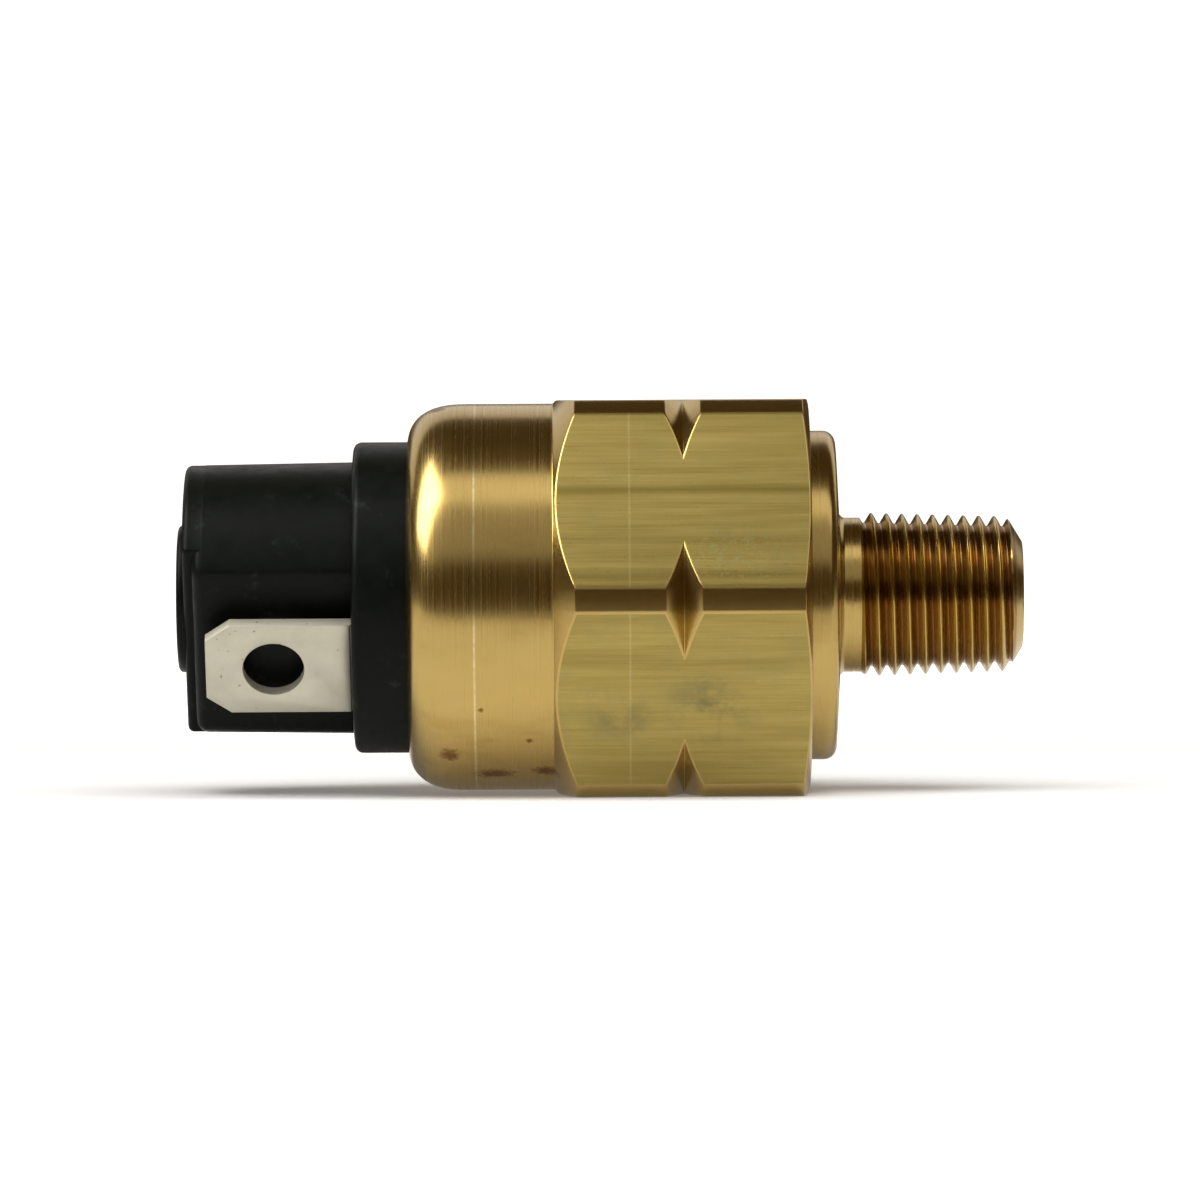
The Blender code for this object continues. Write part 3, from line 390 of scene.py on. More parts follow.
def turned_brass():
    """CZ121 brass as it leaves the lathe: bright, warm yellow, with fine rings from the tool's feed.

    The feed marks are about 0.1 mm apart, drawn at 0.17 mm so that they show. Handling has left a thin brown
    bloom and a few dark spots on the sleeve, and a gauge has scribed one ring round it. The thread's valleys
    are painted darker brown towards the root, as painted shade.
    """
    made, add, place = finish("turned_brass", Metallic=1.0)
    part = add("ShaderNodeSeparateXYZ", place).node.outputs
    feed = add("ShaderNodeTexNoise", {"W": part["X"], "Scale": 1 / (0.17 * MM), "Detail": 2.0,
                                      "Roughness": 0.7}, noise_dimensions="1D")
    coarse = add("ShaderNodeTexNoise", {"W": part["X"], "Scale": 1 / (0.9 * MM), "Detail": 1.0},
                 noise_dimensions="1D")
    stretched = add("ShaderNodeMapping", {"Vector": place, "Scale": (0.35, 1.0, 1.0)})
    bloom = add("ShaderNodeTexNoise", {"Vector": stretched, "Scale": 1 / (3.5 * MM), "Detail": 5.0,
                                       "Roughness": 0.62})
    speck = add("ShaderNodeTexNoise", {"Vector": place, "Scale": 1 / (0.30 * MM), "Detail": 2.0})

    radius = add("SQRT", add("ADD", *[add("MULTIPLY", part[axis], part[axis]) for axis in "YZ"]))
    # Painted shade: the mask below darkens the thread's valleys, more the deeper they go.
    on_thread = add("ShaderNodeMapRange", {"Value": part["X"], "From Min": NECK_X - 0.1 * MM,
                                           "From Max": NECK_X + 0.4 * MM})
    root = add("ADD", THREAD_ROOT_R, add("MULTIPLY", add("SUBTRACT", TIP_X, part["X"]), THREAD_TAPER))
    above_root = add("SUBTRACT", radius, root)
    valley = add("ShaderNodeMapRange", {"Value": above_root, "From Min": 0.48 * MM, "From Max": 0.10 * MM})
    valley = add("MULTIPLY", valley, add("GREATER_THAN", above_root, -0.06 * MM))
    outside_port = add("GREATER_THAN", radius, 3.0 * MM)
    painted_valley_shade = add("MULTIPLY", add("MULTIPLY", on_thread, valley), outside_port)

    spots = 0.0
    for x, angle, length, width in ((-30.8, 233, 0.75, 0.85), (-28.1, 244, 1.6, 0.75), (-25.0, 242, 1.1, 0.7),
                                    (-26.0, 226, 0.25, 0.25), (-28.9, 214, 0.22, 0.22), (-31.6, 100, 0.7, 0.8)):
        centre = (x * MM, SLEEVE_R * math.cos(math.radians(angle)), SLEEVE_R * math.sin(math.radians(angle)))
        far = far_from(add, place, centre, (length * MM, width * MM, width * MM))
        ragged = add("ADD", far, add("MULTIPLY", add("SUBTRACT", speck, 0.5), 1.1))
        spot = add("ShaderNodeMapRange", {"Value": ragged, "From Min": 1.0, "From Max": 0.35})
        spots = add("MAXIMUM", spots, spot)

    bloomed = add("ShaderNodeMapRange", {"Value": bloom, "From Min": 0.56, "From Max": 0.78, "To Max": 0.45})
    ring = scribed(add, part["X"], -29.25 * MM, 0.7)
    # The last coat is the painted shade in the thread's valleys.
    colour = coated(add, linear("#BDA365"), (bloom, "#AD9152"), (bloomed, "#8F6F38"),
                    (add("MULTIPLY", ring, speck), "#F0E2B4"), (add("MULTIPLY", spots, 0.85), "#6E4A1E"),
                    (add("MULTIPLY", painted_valley_shade, 0.80), "#8A6335"))

    ringing, ringing_on_corners = 0.35, 0.03
    smoother = add("ShaderNodeMapRange", {"Value": radius, "From Min": 11.95 * MM, "From Max": 12.2 * MM,
                                          "To Min": ringing, "To Max": ringing_on_corners})
    off_middle = add("MULTIPLY", add("MULTIPLY", add("SUBTRACT", feed, 0.5), smoother), 1 / ringing)
    evened = add("ADD", 0.5, off_middle)
    rough = add("ShaderNodeMapRange", {"Value": evened, "From Min": 0.3, "From Max": 0.7,
                                       "To Min": 0.15, "To Max": 0.25})
    dulled = add("MULTIPLY", add("MAXIMUM", spots, add("MULTIPLY", bloom, 0.4)), 0.2)
    height = add("ADD", add("MULTIPLY", feed, 0.5), add("MULTIPLY", coarse, 0.8))
    return surfaced(made, add, colour, add("ADD", rough, dulled), height, smoother, 0.004 * MM)


def drawn_brass():
    """The bar's own skin, as drawn through the die: duller and greener, with long scratches along the bar.

    The scratches are 0.05 to 0.2 mm wide and run for centimetres, and the die has left a few wider, darker
    lines. Two grey rub marks cross the lower front flat, and the upper one has a patch of greenish specks.
    """
    made, add, place = finish("drawn_brass", Metallic=1.0)

    def streaks(width, length, detail):
        drawn = add("ShaderNodeMapping", {"Vector": place, "Scale": (width / length, 1.0, 1.0)})
        return add("ShaderNodeTexNoise", {"Vector": drawn, "Scale": 1 / width, "Detail": detail,
                                          "Roughness": 0.65})

    def near(x, y, z, length, height):
        """1 at the middle of a patch this long and high, and 0 outside it."""
        far = far_from(add, place, (x * MM, y * MM, z * MM), (length * MM, 3.0 * MM, height * MM))
        return add("ShaderNodeMapRange", {"Value": far, "From Min": 1.2, "From Max": 0.2})

    fine = streaks(0.10 * MM, 7.0 * MM, 3.0)
    broad = streaks(0.9 * MM, 14.0 * MM, 2.0)
    grain = add("ShaderNodeTexNoise", {"Vector": place, "Scale": 1 / (0.22 * MM), "Detail": 3.0})
    patch = add("ShaderNodeTexNoise", {"Vector": place, "Scale": 1 / (3.0 * MM), "Detail": 5.0,
                                       "Roughness": 0.7})
    tone = add("ShaderNodeMapRange", {"Value": add("ADD", add("MULTIPLY", fine, 0.5), add("MULTIPLY", broad, 0.5)),
                                      "From Min": 0.38, "From Max": 0.62})
    greened = add("ShaderNodeMapRange", {"Value": patch, "From Min": 0.50, "From Max": 0.75, "To Max": 0.5})
    part = add("ShaderNodeSeparateXYZ", place).node.outputs
    die_lines = 0.0
    for z, width, depth in ((11.2, 0.7, 0.45), (6.6, 0.40, 0.75), (3.7, 0.45, 0.4), (1.5, 0.5, 0.5),
                            (-3.6, 0.5, 0.25)):
        off = add("ABSOLUTE", add("SUBTRACT", part["Z"], z * MM))
        line = add("ShaderNodeMapRange", {"Value": off, "From Min": width * MM, "From Max": 0.0, "To Max": depth})
        die_lines = add("MAXIMUM", die_lines, line)
    die_lines = add("MULTIPLY", die_lines, add("LESS_THAN", part["Y"], 0.0))
    ring = scribed(add, part["X"], -19.9 * MM, 0.30)
    smeared = add("ShaderNodeMapRange", {"Value": patch, "From Min": 0.42, "From Max": 0.60})
    rub = add("MULTIPLY", smeared, add("MAXIMUM", near(-14.9, -10.1, -6.5, 2.8, 2.4),
                                       add("MULTIPLY", near(-20.6, -9.7, -7.2, 2.2, 1.3), 0.7)))
    specks = add("MULTIPLY", near(-13.6, -11.8, 2.6, 3.4, 1.9),
                 add("ShaderNodeMapRange", {"Value": grain, "From Min": 0.54, "From Max": 0.60}))
    colour = coated(add, linear("#927F44"), (tone, "#A59355"), (greened, "#86804F"), (die_lines, "#6F602C"),
                    (add("MULTIPLY", ring, grain), "#D8CB96"), (add("MULTIPLY", specks, 0.6), "#8F9C66"),
                    (add("MULTIPLY", rub, 0.75), "#6C684C"))
    rough = add("ShaderNodeMapRange", {"Value": add("ADD", fine, add("MULTIPLY", grain, 0.4)), "From Min": 0.4,
                                       "From Max": 1.0, "To Min": 0.24, "To Max": 0.42})
    height = add("ADD", add("ADD", fine, add("MULTIPLY", grain, 0.25)), add("MULTIPLY", broad, 1.2))
    return surfaced(made, add, colour, add("ADD", rough, add("MULTIPLY", rub, 0.12)), height, 0.5, 0.006 * MM)


def piece(name, mesh, materials, body, slot, *nodes, smooth=35):
    """Shows a finished mesh in the place of its CAD nodes."""
    for material in materials:
        mesh.materials.append(material)
    mesh.shade_smooth()
    mesh.set_sharp_from_angle(angle=math.radians(smooth))
    made = placed(name, mesh)
    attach(made, body)
    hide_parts(*nodes)
    return made


turned = turned_brass()
piece("brass_body", body_mesh(), (turned, drawn_brass()), "casing", "brass", "hex_body")

# ---------------------------------------------------------------------------------------------------------
# The black head: a glass-filled nylon moulding, clamped under the crimped lip. It has a turned collar, a block
# with a flat beside each terminal, a raised band across its end, and a boss round the adjuster's brass bush.

COLLAR_X = LIP_X - 3.29 * MM
BLOCK_X = COLLAR_X - 10.24 * MM
PAD_X = BLOCK_X + 0.60 * MM
BOSS_X = BLOCK_X - 0.50 * MM
SHOULDER_X = LIP_X + 1.0 * MM
HEAD_BASE_X = SHOULDER_X + 4.10 * MM
SPIGOT_X = HEX_PORT_X - 13.11 * MM
BLOCK_R = 8.30 * MM
BLOCK_FLAT = 6.0 * MM
RIDGE_FLAT = 4.70 * MM
BLADE_OUT = 7.65 * MM
BLADE_IN = 6.85 * MM
BLADE_HALF = 3.175 * MM
LEG_HALF = 2.20 * MM
BLADE_SHOULDER_X = COLLAR_X + 3.0 * MM
GAP = 0.10 * MM
CLEAR = 1.0 * MM
TERMINAL_TURN = Matrix.Rotation(math.radians(33), 4, "X")
OTHER_TURN = Matrix.Rotation(math.radians(213), 4, "X")


def shell(name, bm, turn=None):
    """A closed mesh object with its faces outwards."""
    bmesh.ops.remove_doubles(bm, verts=bm.verts, dist=1e-7)
    bmesh.ops.recalc_face_normals(bm, faces=bm.faces)
    if turn:
        bm.transform(turn)
    return placed(name, plain_mesh(name, bm))


def turned_shell(name, outline, columns=160):
    """A closed (x, r) outline turned round the X axis. Points on the axis close it themselves."""
    bm = bmesh.new()
    skin(bm, [column(bm, outline, 2 * math.pi * i / columns) for i in range(columns)], closed=True)
    bmesh.ops.remove_doubles(bm, verts=bm.verts, dist=1e-8)
    bmesh.ops.dissolve_degenerate(bm, edges=bm.edges, dist=1e-8)
    loose = [face for face in bm.faces if face.calc_area() < 1e-16]
    bmesh.ops.delete(bm, geom=loose, context="FACES")
    return shell(name, bm)


def flatted_shell(name, radius, flat, ease, stations, turn, columns=240):
    """A round bar with two eased flats, +Y and -Y before its turn, lofted through (x, inset) stations."""
    corner = math.degrees(math.acos(flat / radius))
    angles = [360 * i / columns for i in range(columns)]
    for middle in (corner, -corner, 180 - corner, 180 + corner):
        angles += [middle + off for off in (-1.1, -0.7, -0.35, 0.35, 0.7, 1.1)]
    angles = sorted({round(a % 360, 3) for a in angles})
    bm = bmesh.new()
    rings = []
    for x, inset in stations:
        ring = []
        for degrees in angles:
            a = math.radians(degrees)
            across = abs(math.cos(a))
            plain = (flat - inset) / across if across > 1e-4 else 1.0
            bar = radius - inset
            blend = max(ease - abs(plain - bar), 0.0) / ease
            r = min(plain, bar) - blend * blend * ease / 4
            ring.append(bm.verts.new((x, r * math.cos(a), r * math.sin(a))))
        rings.append(ring)
    skin(bm, rings, around=False, closed=True)
    bm.faces.new(rings[0])
    bm.faces.new(rings[-1])
    return shell(name, bm, turn)


def prism(name, outline, low, high, across, turn):
    """A flat outline of (x, u) points made solid between low and high along the local axis across."""
    bm = bmesh.new()
    points = {"y": lambda x, u, v: (x, v, u), "z": lambda x, u, v: (x, u, v), "x": lambda x, u, v: (v, x, u)}
    ends = [[bm.verts.new(points[across](x, u, v)) for x, u in outline] for v in (low, high)]
    skin(bm, ends, around=False, closed=True)
    bm.faces.new(ends[0])
    bm.faces.new(ends[1])
    return shell(name, bm, turn)


def box_outline(low_x, high_x, low_u, high_u):
    return [(low_x, low_u), (high_x, low_u), (high_x, high_u), (low_x, high_u)]


def cut(piece_shell, operation, *tools):
    """Joins or removes whole shells, which are used up, and leaves a plain mesh."""
    for tool in tools:
        step = piece_shell.modifiers.new(tool.name, "BOOLEAN")
        step.operation, step.solver, step.object = operation, "EXACT", tool
    return baked(piece_shell, *tools)


def baked(made, *used):
    """The object with its modifiers applied and the helpers that they used removed."""
    graph = bpy.context.evaluated_depsgraph_get()
    mesh = bpy.data.meshes.new_from_object(made.evaluated_get(graph))
    made.modifiers.clear()
    old, made.data = made.data, mesh
    bpy.data.meshes.remove(old)
    for helper in used:
        bpy.data.objects.remove(helper)
    return made


def mesh_of(made):
    """The mesh of an object, which is used up."""
    mesh = made.data
    bpy.data.objects.remove(made)
    return mesh


def arc(centre_x, centre_r, radius, start, end, steps=6):
    return [p[:2] for p in rolled(centre_x, centre_r, radius, radius, start, end, steps)]


def t_outline(tip_x, end_x, gap, corner=(0.0, 0.0)):
    """The blade as far as its shoulder and its narrower leg, with a gap all round and its tip's corners cut."""
    half, leg = BLADE_HALF + gap, LEG_HALF + gap
    shoulder_x = BLADE_SHOULDER_X - GAP + gap
    upper = [(end_x, leg), (shoulder_x, leg), (shoulder_x, half), (tip_x + corner[0], half)]
    if corner[0]:
        upper.append((tip_x, half - corner[1]))
    return upper + [(x, -u) for x, u in reversed(upper)]


def head_mesh():
    """A turned collar and spigot, with the block, its band and the boss joined on, then bored and slotted."""
    spigot_r, base_r, collar_r, boss_r = 8.0 * MM, 10.75 * MM, 9.5 * MM, 4.5 * MM
    bush_bore_r, stem_bore_r = 3.6 * MM, 2.75 * MM
    shoulder_r, shoulder_reach = 1.8 * MM, 2.7 * MM
    round_r = base_r - shoulder_r
    collar_round, block_round, ridge_round, boss_round = 0.50 * MM, 0.70 * MM, 0.40 * MM, 0.30 * MM
    head = turned_shell("nylon_head", [
        (SPIGOT_X, 0.0), (SPIGOT_X, spigot_r), (HEAD_BASE_X, spigot_r), (HEAD_BASE_X, base_r),
        *[p[:2] for p in rolled(SHOULDER_X + shoulder_reach, round_r, shoulder_reach, shoulder_r, 90,
                                lip_angle(round_r, shoulder_r, collar_r), 8, CRIMP_FULLNESS)],
        (SHOULDER_X, collar_r), *arc(COLLAR_X + collar_round, collar_r - collar_round, collar_round, 90, 180, 8),
        (COLLAR_X, 0.0)], 240)
    draft = 0.14 * MM

    def capped(root_x, end_x, fall, rounding, steps=8):
        """Stations from a root up a drafted side, then over a rounded edge."""
        quarter = [math.pi / 2 * i / steps for i in range(steps + 1)]
        return [(root_x, 0.0)] + [(end_x + rounding * (1 - math.sin(a)), fall + rounding * (1 - math.cos(a)))
                                  for a in quarter]

    block = flatted_shell("head_block", BLOCK_R, BLOCK_FLAT, 0.30 * MM,
                          capped(COLLAR_X + CLEAR, PAD_X, draft, block_round), TERMINAL_TURN)
    ridge = flatted_shell("head_ridge", BLOCK_R - draft - 0.02 * MM, RIDGE_FLAT, 0.20 * MM,
                          capped(PAD_X + 1.1 * MM, BLOCK_X, 0.0, ridge_round), TERMINAL_TURN)
    boss = turned_shell("head_boss", [
        (PAD_X + CLEAR, 2.0 * MM), (PAD_X + CLEAR, boss_r),
        *arc(BOSS_X + boss_round, boss_r - boss_round, boss_round, 90, 180), (BOSS_X, 2.0 * MM)])
    head = cut(head, "UNION", block, ridge, boss)
    bush_end = BOSS_X + 8.0 * MM
    bore = turned_shell("head_bore", [
        (BOSS_X - CLEAR, 0.0), (BOSS_X - CLEAR, bush_bore_r), (bush_end, bush_bore_r), (bush_end, stem_bore_r),
        (SPIGOT_X + CLEAR, stem_bore_r), (SPIGOT_X + CLEAR, 0.0)])
    tools = [bore]
    for turn in (TERMINAL_TURN, OTHER_TURN):
        tools.append(prism("blade_slot", t_outline(BLOCK_X - 3 * MM, SPIGOT_X + 3 * MM, GAP),
                           -BLADE_OUT - GAP, -BLADE_IN + GAP, "y", turn))
        tools.append(prism("leg_room", box_outline(HEAD_BASE_X - GAP, SPIGOT_X + 3 * MM, -14 * MM, -BLADE_IN),
                           -LEG_HALF - 2 * GAP, LEG_HALF + 2 * GAP, "z", turn))
    return mesh_of(cut(head, "DIFFERENCE", *tools))


def moulded_nylon():
    """Black glass-filled nylon 6/6: a satin skin, faintly mottled where fibres reach it, with pale scuffs."""
    made, add, place = finish("moulded_nylon", IOR=1.53, Specular_IOR_Level=0.08)
    mottle = add("ShaderNodeTexNoise", {"Vector": place, "Scale": 1 / (1.1 * MM), "Detail": 4.0,
                                        "Roughness": 0.6})
    fibre = add("ShaderNodeMapping", {"Vector": place, "Scale": (0.25, 1.0, 1.0)})
    fibres = add("ShaderNodeTexNoise", {"Vector": fibre, "Scale": 1 / (0.12 * MM), "Detail": 2.0})
    patch = add("ShaderNodeTexNoise", {"Vector": place, "Scale": 1 / (2.4 * MM), "Detail": 6.0,
                                       "Roughness": 0.75})
    scuff = add("ShaderNodeMapRange", {"Value": patch, "From Min": 0.60, "From Max": 0.72, "To Max": 0.35})
    colour = coated(add, linear("#070A07"), (mottle, "#0E110D"), (scuff, "#3A3E38"))
    rough = add("ShaderNodeMapRange", {"Value": mottle, "From Min": 0.3, "From Max": 0.7,
                                       "To Min": 0.34, "To Max": 0.48})
    return surfaced(made, add, colour, rough, add("ADD", fibres, mottle), 0.3, 0.006 * MM)


piece("nylon_head", head_mesh(), (moulded_nylon(),), "casing", "black_moulding", "terminal_head", smooth=30)

# ---------------------------------------------------------------------------------------------------------
# The terminals: 6.35 x 0.8 mm blades blanked from tinned brass strip, so their edges are barely rounded.
# Each has a leg down through the head and a foot bent in under it, riveted to its contact.

BLADE_TIP_X = COLLAR_X - 8.86 * MM
FOOT_X = SPIGOT_X - 0.10 * MM + 1.0 * MM
CONTACT_OFFSET = 6.0 * MM


def circle(centre, radius, points):
    return [(centre + radius * math.cos(a), radius * math.sin(a))
            for a in [2 * math.pi * i / points for i in range(points)]]


def blade_mesh(turn):
    """The bent strip seen from its edge, kept where the blade's outline covers it, then pierced."""
    foot_back = FOOT_X - 0.80 * MM
    leg_out = BLADE_OUT - GAP
    foot_end = 3.25 * MM
    coined_x = COLLAR_X - GAP
    past = BLADE_TIP_X - 0.8 * MM
    half_width, reach = 6 * MM, 12 * MM
    strip = prism("blade_strip", [(past, -BLADE_IN), (foot_back, -BLADE_IN), (foot_back, -foot_end),
                                  (FOOT_X, -foot_end), (FOOT_X, -leg_out), (coined_x, -leg_out),
                                  (coined_x, -BLADE_OUT), (past, -BLADE_OUT)], -half_width, half_width, "z", turn)
    face = prism("blade_face", t_outline(BLADE_TIP_X, FOOT_X + CLEAR, 0.0, (1.5 * MM, 1.1 * MM)),
                 -reach, 0.0, "y", turn)
    hole = prism("blade_hole", circle(BLADE_TIP_X + 4.10 * MM, 1.86 * MM, 48), -reach, 0.0, "y", turn)
    rivet = prism("rivet_hole", circle(-CONTACT_OFFSET, 0.7 * MM, 24), foot_back - CLEAR, FOOT_X + CLEAR,
                  "x", turn)
    strip = cut(strip, "INTERSECT", face)
    strip = cut(strip, "DIFFERENCE", hole, rivet)
    edge = strip.modifiers.new("blanked_edge", "BEVEL")
    edge.width, edge.segments, edge.limit_method = 0.07 * MM, 2, "ANGLE"
    edge.angle_limit = math.radians(30)
    mesh = mesh_of(baked(strip))
    facing = turn.to_3x3() @ Vector((0, 1, 0))
    for face in mesh.polygons:
        face.material_index = int(abs(face.normal.dot(facing)) < 0.9)
    return mesh


def tinned_strip(name, metallic, rough_low, rough_high):
    """Bright electro-tin on brass strip: warm grey, rolled along the blade, with faint smears and dark ticks.

    On the blanked edges the tin lies over a torn surface, so it is matt.
    """
    made, add, place = finish(name, Metallic=metallic)
    along_strip = add("ShaderNodeMapping", {"Vector": place, "Scale": (0.04, 1.0, 1.0)})
    lines = add("ShaderNodeTexNoise", {"Vector": along_strip, "Scale": 1 / (0.14 * MM), "Detail": 2.0})
    smear = add("ShaderNodeTexNoise", {"Vector": place, "Scale": 1 / (1.6 * MM), "Detail": 5.0,
                                       "Roughness": 0.65})
    tick = add("ShaderNodeTexNoise", {"Vector": place, "Scale": 1 / (0.35 * MM), "Detail": 1.0})
    ticks = add("ShaderNodeMapRange", {"Value": tick, "From Min": 0.72, "From Max": 0.78, "To Max": 0.7})
    colour = coated(add, linear("#C4C0B0"), (smear, "#B0AA97"), (ticks, "#6E6650"))
    rough = add("ShaderNodeMapRange", {"Value": smear, "From Min": 0.3, "From Max": 0.7,
                                       "To Min": rough_low, "To Max": rough_high})
    return surfaced(made, add, colour, rough, lines, 0.4, 0.003 * MM)


tin = (tinned_strip("tinned_strip", 1.0, 0.30, 0.42), tinned_strip("tinned_blanked_edge", 0.6, 0.5, 0.6))
for side, turn in (("a", TERMINAL_TURN), ("b", OTHER_TURN)):
    piece(f"blade_{side}", blade_mesh(turn), tin, "casing", "tinned_brass", f"terminal_{side}")

# ---------------------------------------------------------------------------------------------------------
# The adjuster: a turned brass bush moulded into the boss, tapped M5 x 0.8, and in it a steel socket set
# screw with a dog point. A locked one is sealed with paint, but this one is left free to turn.

BUSH_X = BOSS_X + 0.20 * MM
BUSH_LENGTH = 7.70 * MM
BUSH_R = 3.50 * MM
TAPPED_R = 2.60 * MM
SCREW_X = BOSS_X + 1.40 * MM
SCREW_LENGTH = 5.20 * MM
SCREW_R = 2.50 * MM
SCREW_DEPTH = 0.45 * MM
SCREW_PITCH = 0.80 * MM
DOG_R = 1.20 * MM
SOCKET_FLAT_R = 1.25 * MM
SOCKET_DEPTH = 2.60 * MM
SMALL_COLUMNS = 72


def joined(name, thread, outline):
    """A thread's skin and a plain turned outline, from the thread's end round to its start, as one shell."""
    bm = bmesh.new()
    bm.from_mesh(thread)
    skin(bm, [column(bm, outline, 2 * math.pi * i / SMALL_COLUMNS) for i in range(SMALL_COLUMNS)])
    bmesh.ops.remove_doubles(bm, verts=bm.verts, dist=1.5e-6)
    bmesh.ops.dissolve_degenerate(bm, edges=bm.edges, dist=1e-7)
    return shell(name, bm)


def small_thread(name, start, length, root_r, depth, end_r, slope):
    return made_by(cut_thread, name, {
        "Pitch": SCREW_PITCH, "Start": start, "End": start + length, "Root radius": root_r, "Taper": 0.0,
        "Depth": depth, "Crest": SCREW_PITCH / 8, "Neck radius": end_r, "Run-out": slope,
        "Tip radius": end_r, "Chamfer": slope, "Points per pitch": POINTS_PER_PITCH, "Columns": SMALL_COLUMNS,
        "Rows": POINTS_PER_PITCH * (math.ceil(length / SCREW_PITCH) + 2)})


third, grip, edge = BUSH_LENGTH / 3, BUSH_R - 0.35 * MM, 0.15 * MM
bush_end_x = BUSH_X + BUSH_LENGTH
tapping = small_thread("tapping", BUSH_X + 0.3 * MM, BUSH_LENGTH - 0.6 * MM, TAPPED_R, 0.30 * MM, TAPPED_R, 2.0)
bush = joined("adjuster_bush", tapping, [
    (bush_end_x - 0.3 * MM, TAPPED_R), (bush_end_x, TAPPED_R + 0.2 * MM), (bush_end_x, BUSH_R - edge),
    (bush_end_x - edge, BUSH_R), (BUSH_X + 2 * third, BUSH_R), (BUSH_X + 2 * third, grip),
    (BUSH_X + third, grip), (BUSH_X + third, BUSH_R), (BUSH_X + edge, BUSH_R), (BUSH_X, BUSH_R - edge),
    (BUSH_X, TAPPED_R + 0.25 * MM), (BUSH_X + 0.3 * MM, TAPPED_R)])
piece("brass_bush", mesh_of(bush), (turned,), "casing", "bush_brass", "adjuster_bush", smooth=25)

root_r = SCREW_R - SCREW_DEPTH
screw_end_x = SCREW_X + SCREW_LENGTH
dog_tip_x = screw_end_x + 1.0 * MM
screw_thread = small_thread("screw_thread", SCREW_X, SCREW_LENGTH, root_r, SCREW_DEPTH, root_r, 1.0)
screw = joined("set_screw", screw_thread, [
    (screw_end_x, root_r), (screw_end_x, DOG_R), (dog_tip_x - 0.2 * MM, DOG_R), (dog_tip_x, DOG_R - 0.2 * MM),
    (dog_tip_x, 0.0), (SCREW_X, 0.0), (SCREW_X, root_r)])
socket_corner_r = SOCKET_FLAT_R / math.cos(math.pi / 6)
corners = [(socket_corner_r * math.cos(math.radians(a)), socket_corner_r * math.sin(math.radians(a)))
           for a in range(30, 390, 60)]
socket = prism("screw_socket", corners, SCREW_X - CLEAR, SCREW_X + SOCKET_DEPTH, "x", None)
screw = cut(screw, "DIFFERENCE", socket)


def oxidised_steel():
    """Alloy steel, hardened and chemically blackened, then oiled: near black, with a dull metal sheen."""
    made, add, place = finish("oxidised_steel", Metallic=1.0)
    grain = add("ShaderNodeTexNoise", {"Vector": place, "Scale": 1 / (0.15 * MM), "Detail": 3.0})
    colour = coated(add, linear("#2B2A2A"), (grain, "#4A4846"))
    rough = add("ShaderNodeMapRange", {"Value": grain, "To Min": 0.28, "To Max": 0.5})
    return surfaced(made, add, colour, rough, grain, 0.3, 0.005 * MM)


piece("set_screw", mesh_of(screw), (oxidised_steel(),), "screw_group", "steel", "adjuster_screw", smooth=25)

# ---------------------------------------------------------------------------------------------------------
# The working parts inside: turned, pressed, bent or moulded pieces that the head and the body close in.
# Their shapes are right as they are, so each one only gets its own finish.


def inner_finish(name, low, high, grain_mm, rough_low, rough_high, depth_mm, **settings):
    """A fine-grained finish between two colours. The grain's size and depth are in millimetres."""
    made, add, place = finish(name, **settings)
    grain = add("ShaderNodeTexNoise", {"Vector": place, "Scale": 1 / (grain_mm * MM), "Detail": 4.0,
                                       "Roughness": 0.6})
    colour = coated(add, linear(low), (grain, high))
    rough = add("ShaderNodeMapRange", {"Value": grain, "From Min": 0.3, "From Max": 0.7,
                                       "To Min": rough_low, "To Max": rough_high})
    return surfaced(made, add, colour, rough, grain, 0.3, depth_mm * MM)


nitrile = inner_finish("nitrile_rubber", "#121212", "#222220", 0.25, 0.55, 0.75, 0.01, IOR=1.52)
film = inner_finish("polyimide_film", "#9C5712", "#B8701F", 0.6, 0.18, 0.30, 0.002, IOR=1.70)
zinc_plate = inner_finish("zinc_plated_steel", "#A9ADB2", "#C6C9CC", 0.3, 0.28, 0.42, 0.004, Metallic=1.0)
acetal = inner_finish("white_acetal", "#DAD7CC", "#E9E6DC", 0.5, 0.35, 0.5, 0.006, IOR=1.48)
silver = inner_finish("coin_silver", "#C9C6BE", "#E4E1DA", 0.35, 0.2, 0.35, 0.003, Metallic=1.0)
wire = inner_finish("patented_spring_wire", "#6A6C70", "#85878B", 0.12, 0.22, 0.38, 0.003, Metallic=1.0)
for worn, nodes in ((nitrile, ("diaphragm_o_ring", "head_gasket")), (film, ("diaphragm",)),
                    (zinc_plate, ("guide_plate", "contact_washer", "spring_seat")),
                    (acetal, ("piston", "spacer_sleeve")),
                    (silver, ("fixed_contact_a", "fixed_contact_b", "contact_disc")),
                    (wire, ("retaining_ring",))):
    for node in nodes:
        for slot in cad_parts[node].material_slots:
            slot.material = worn
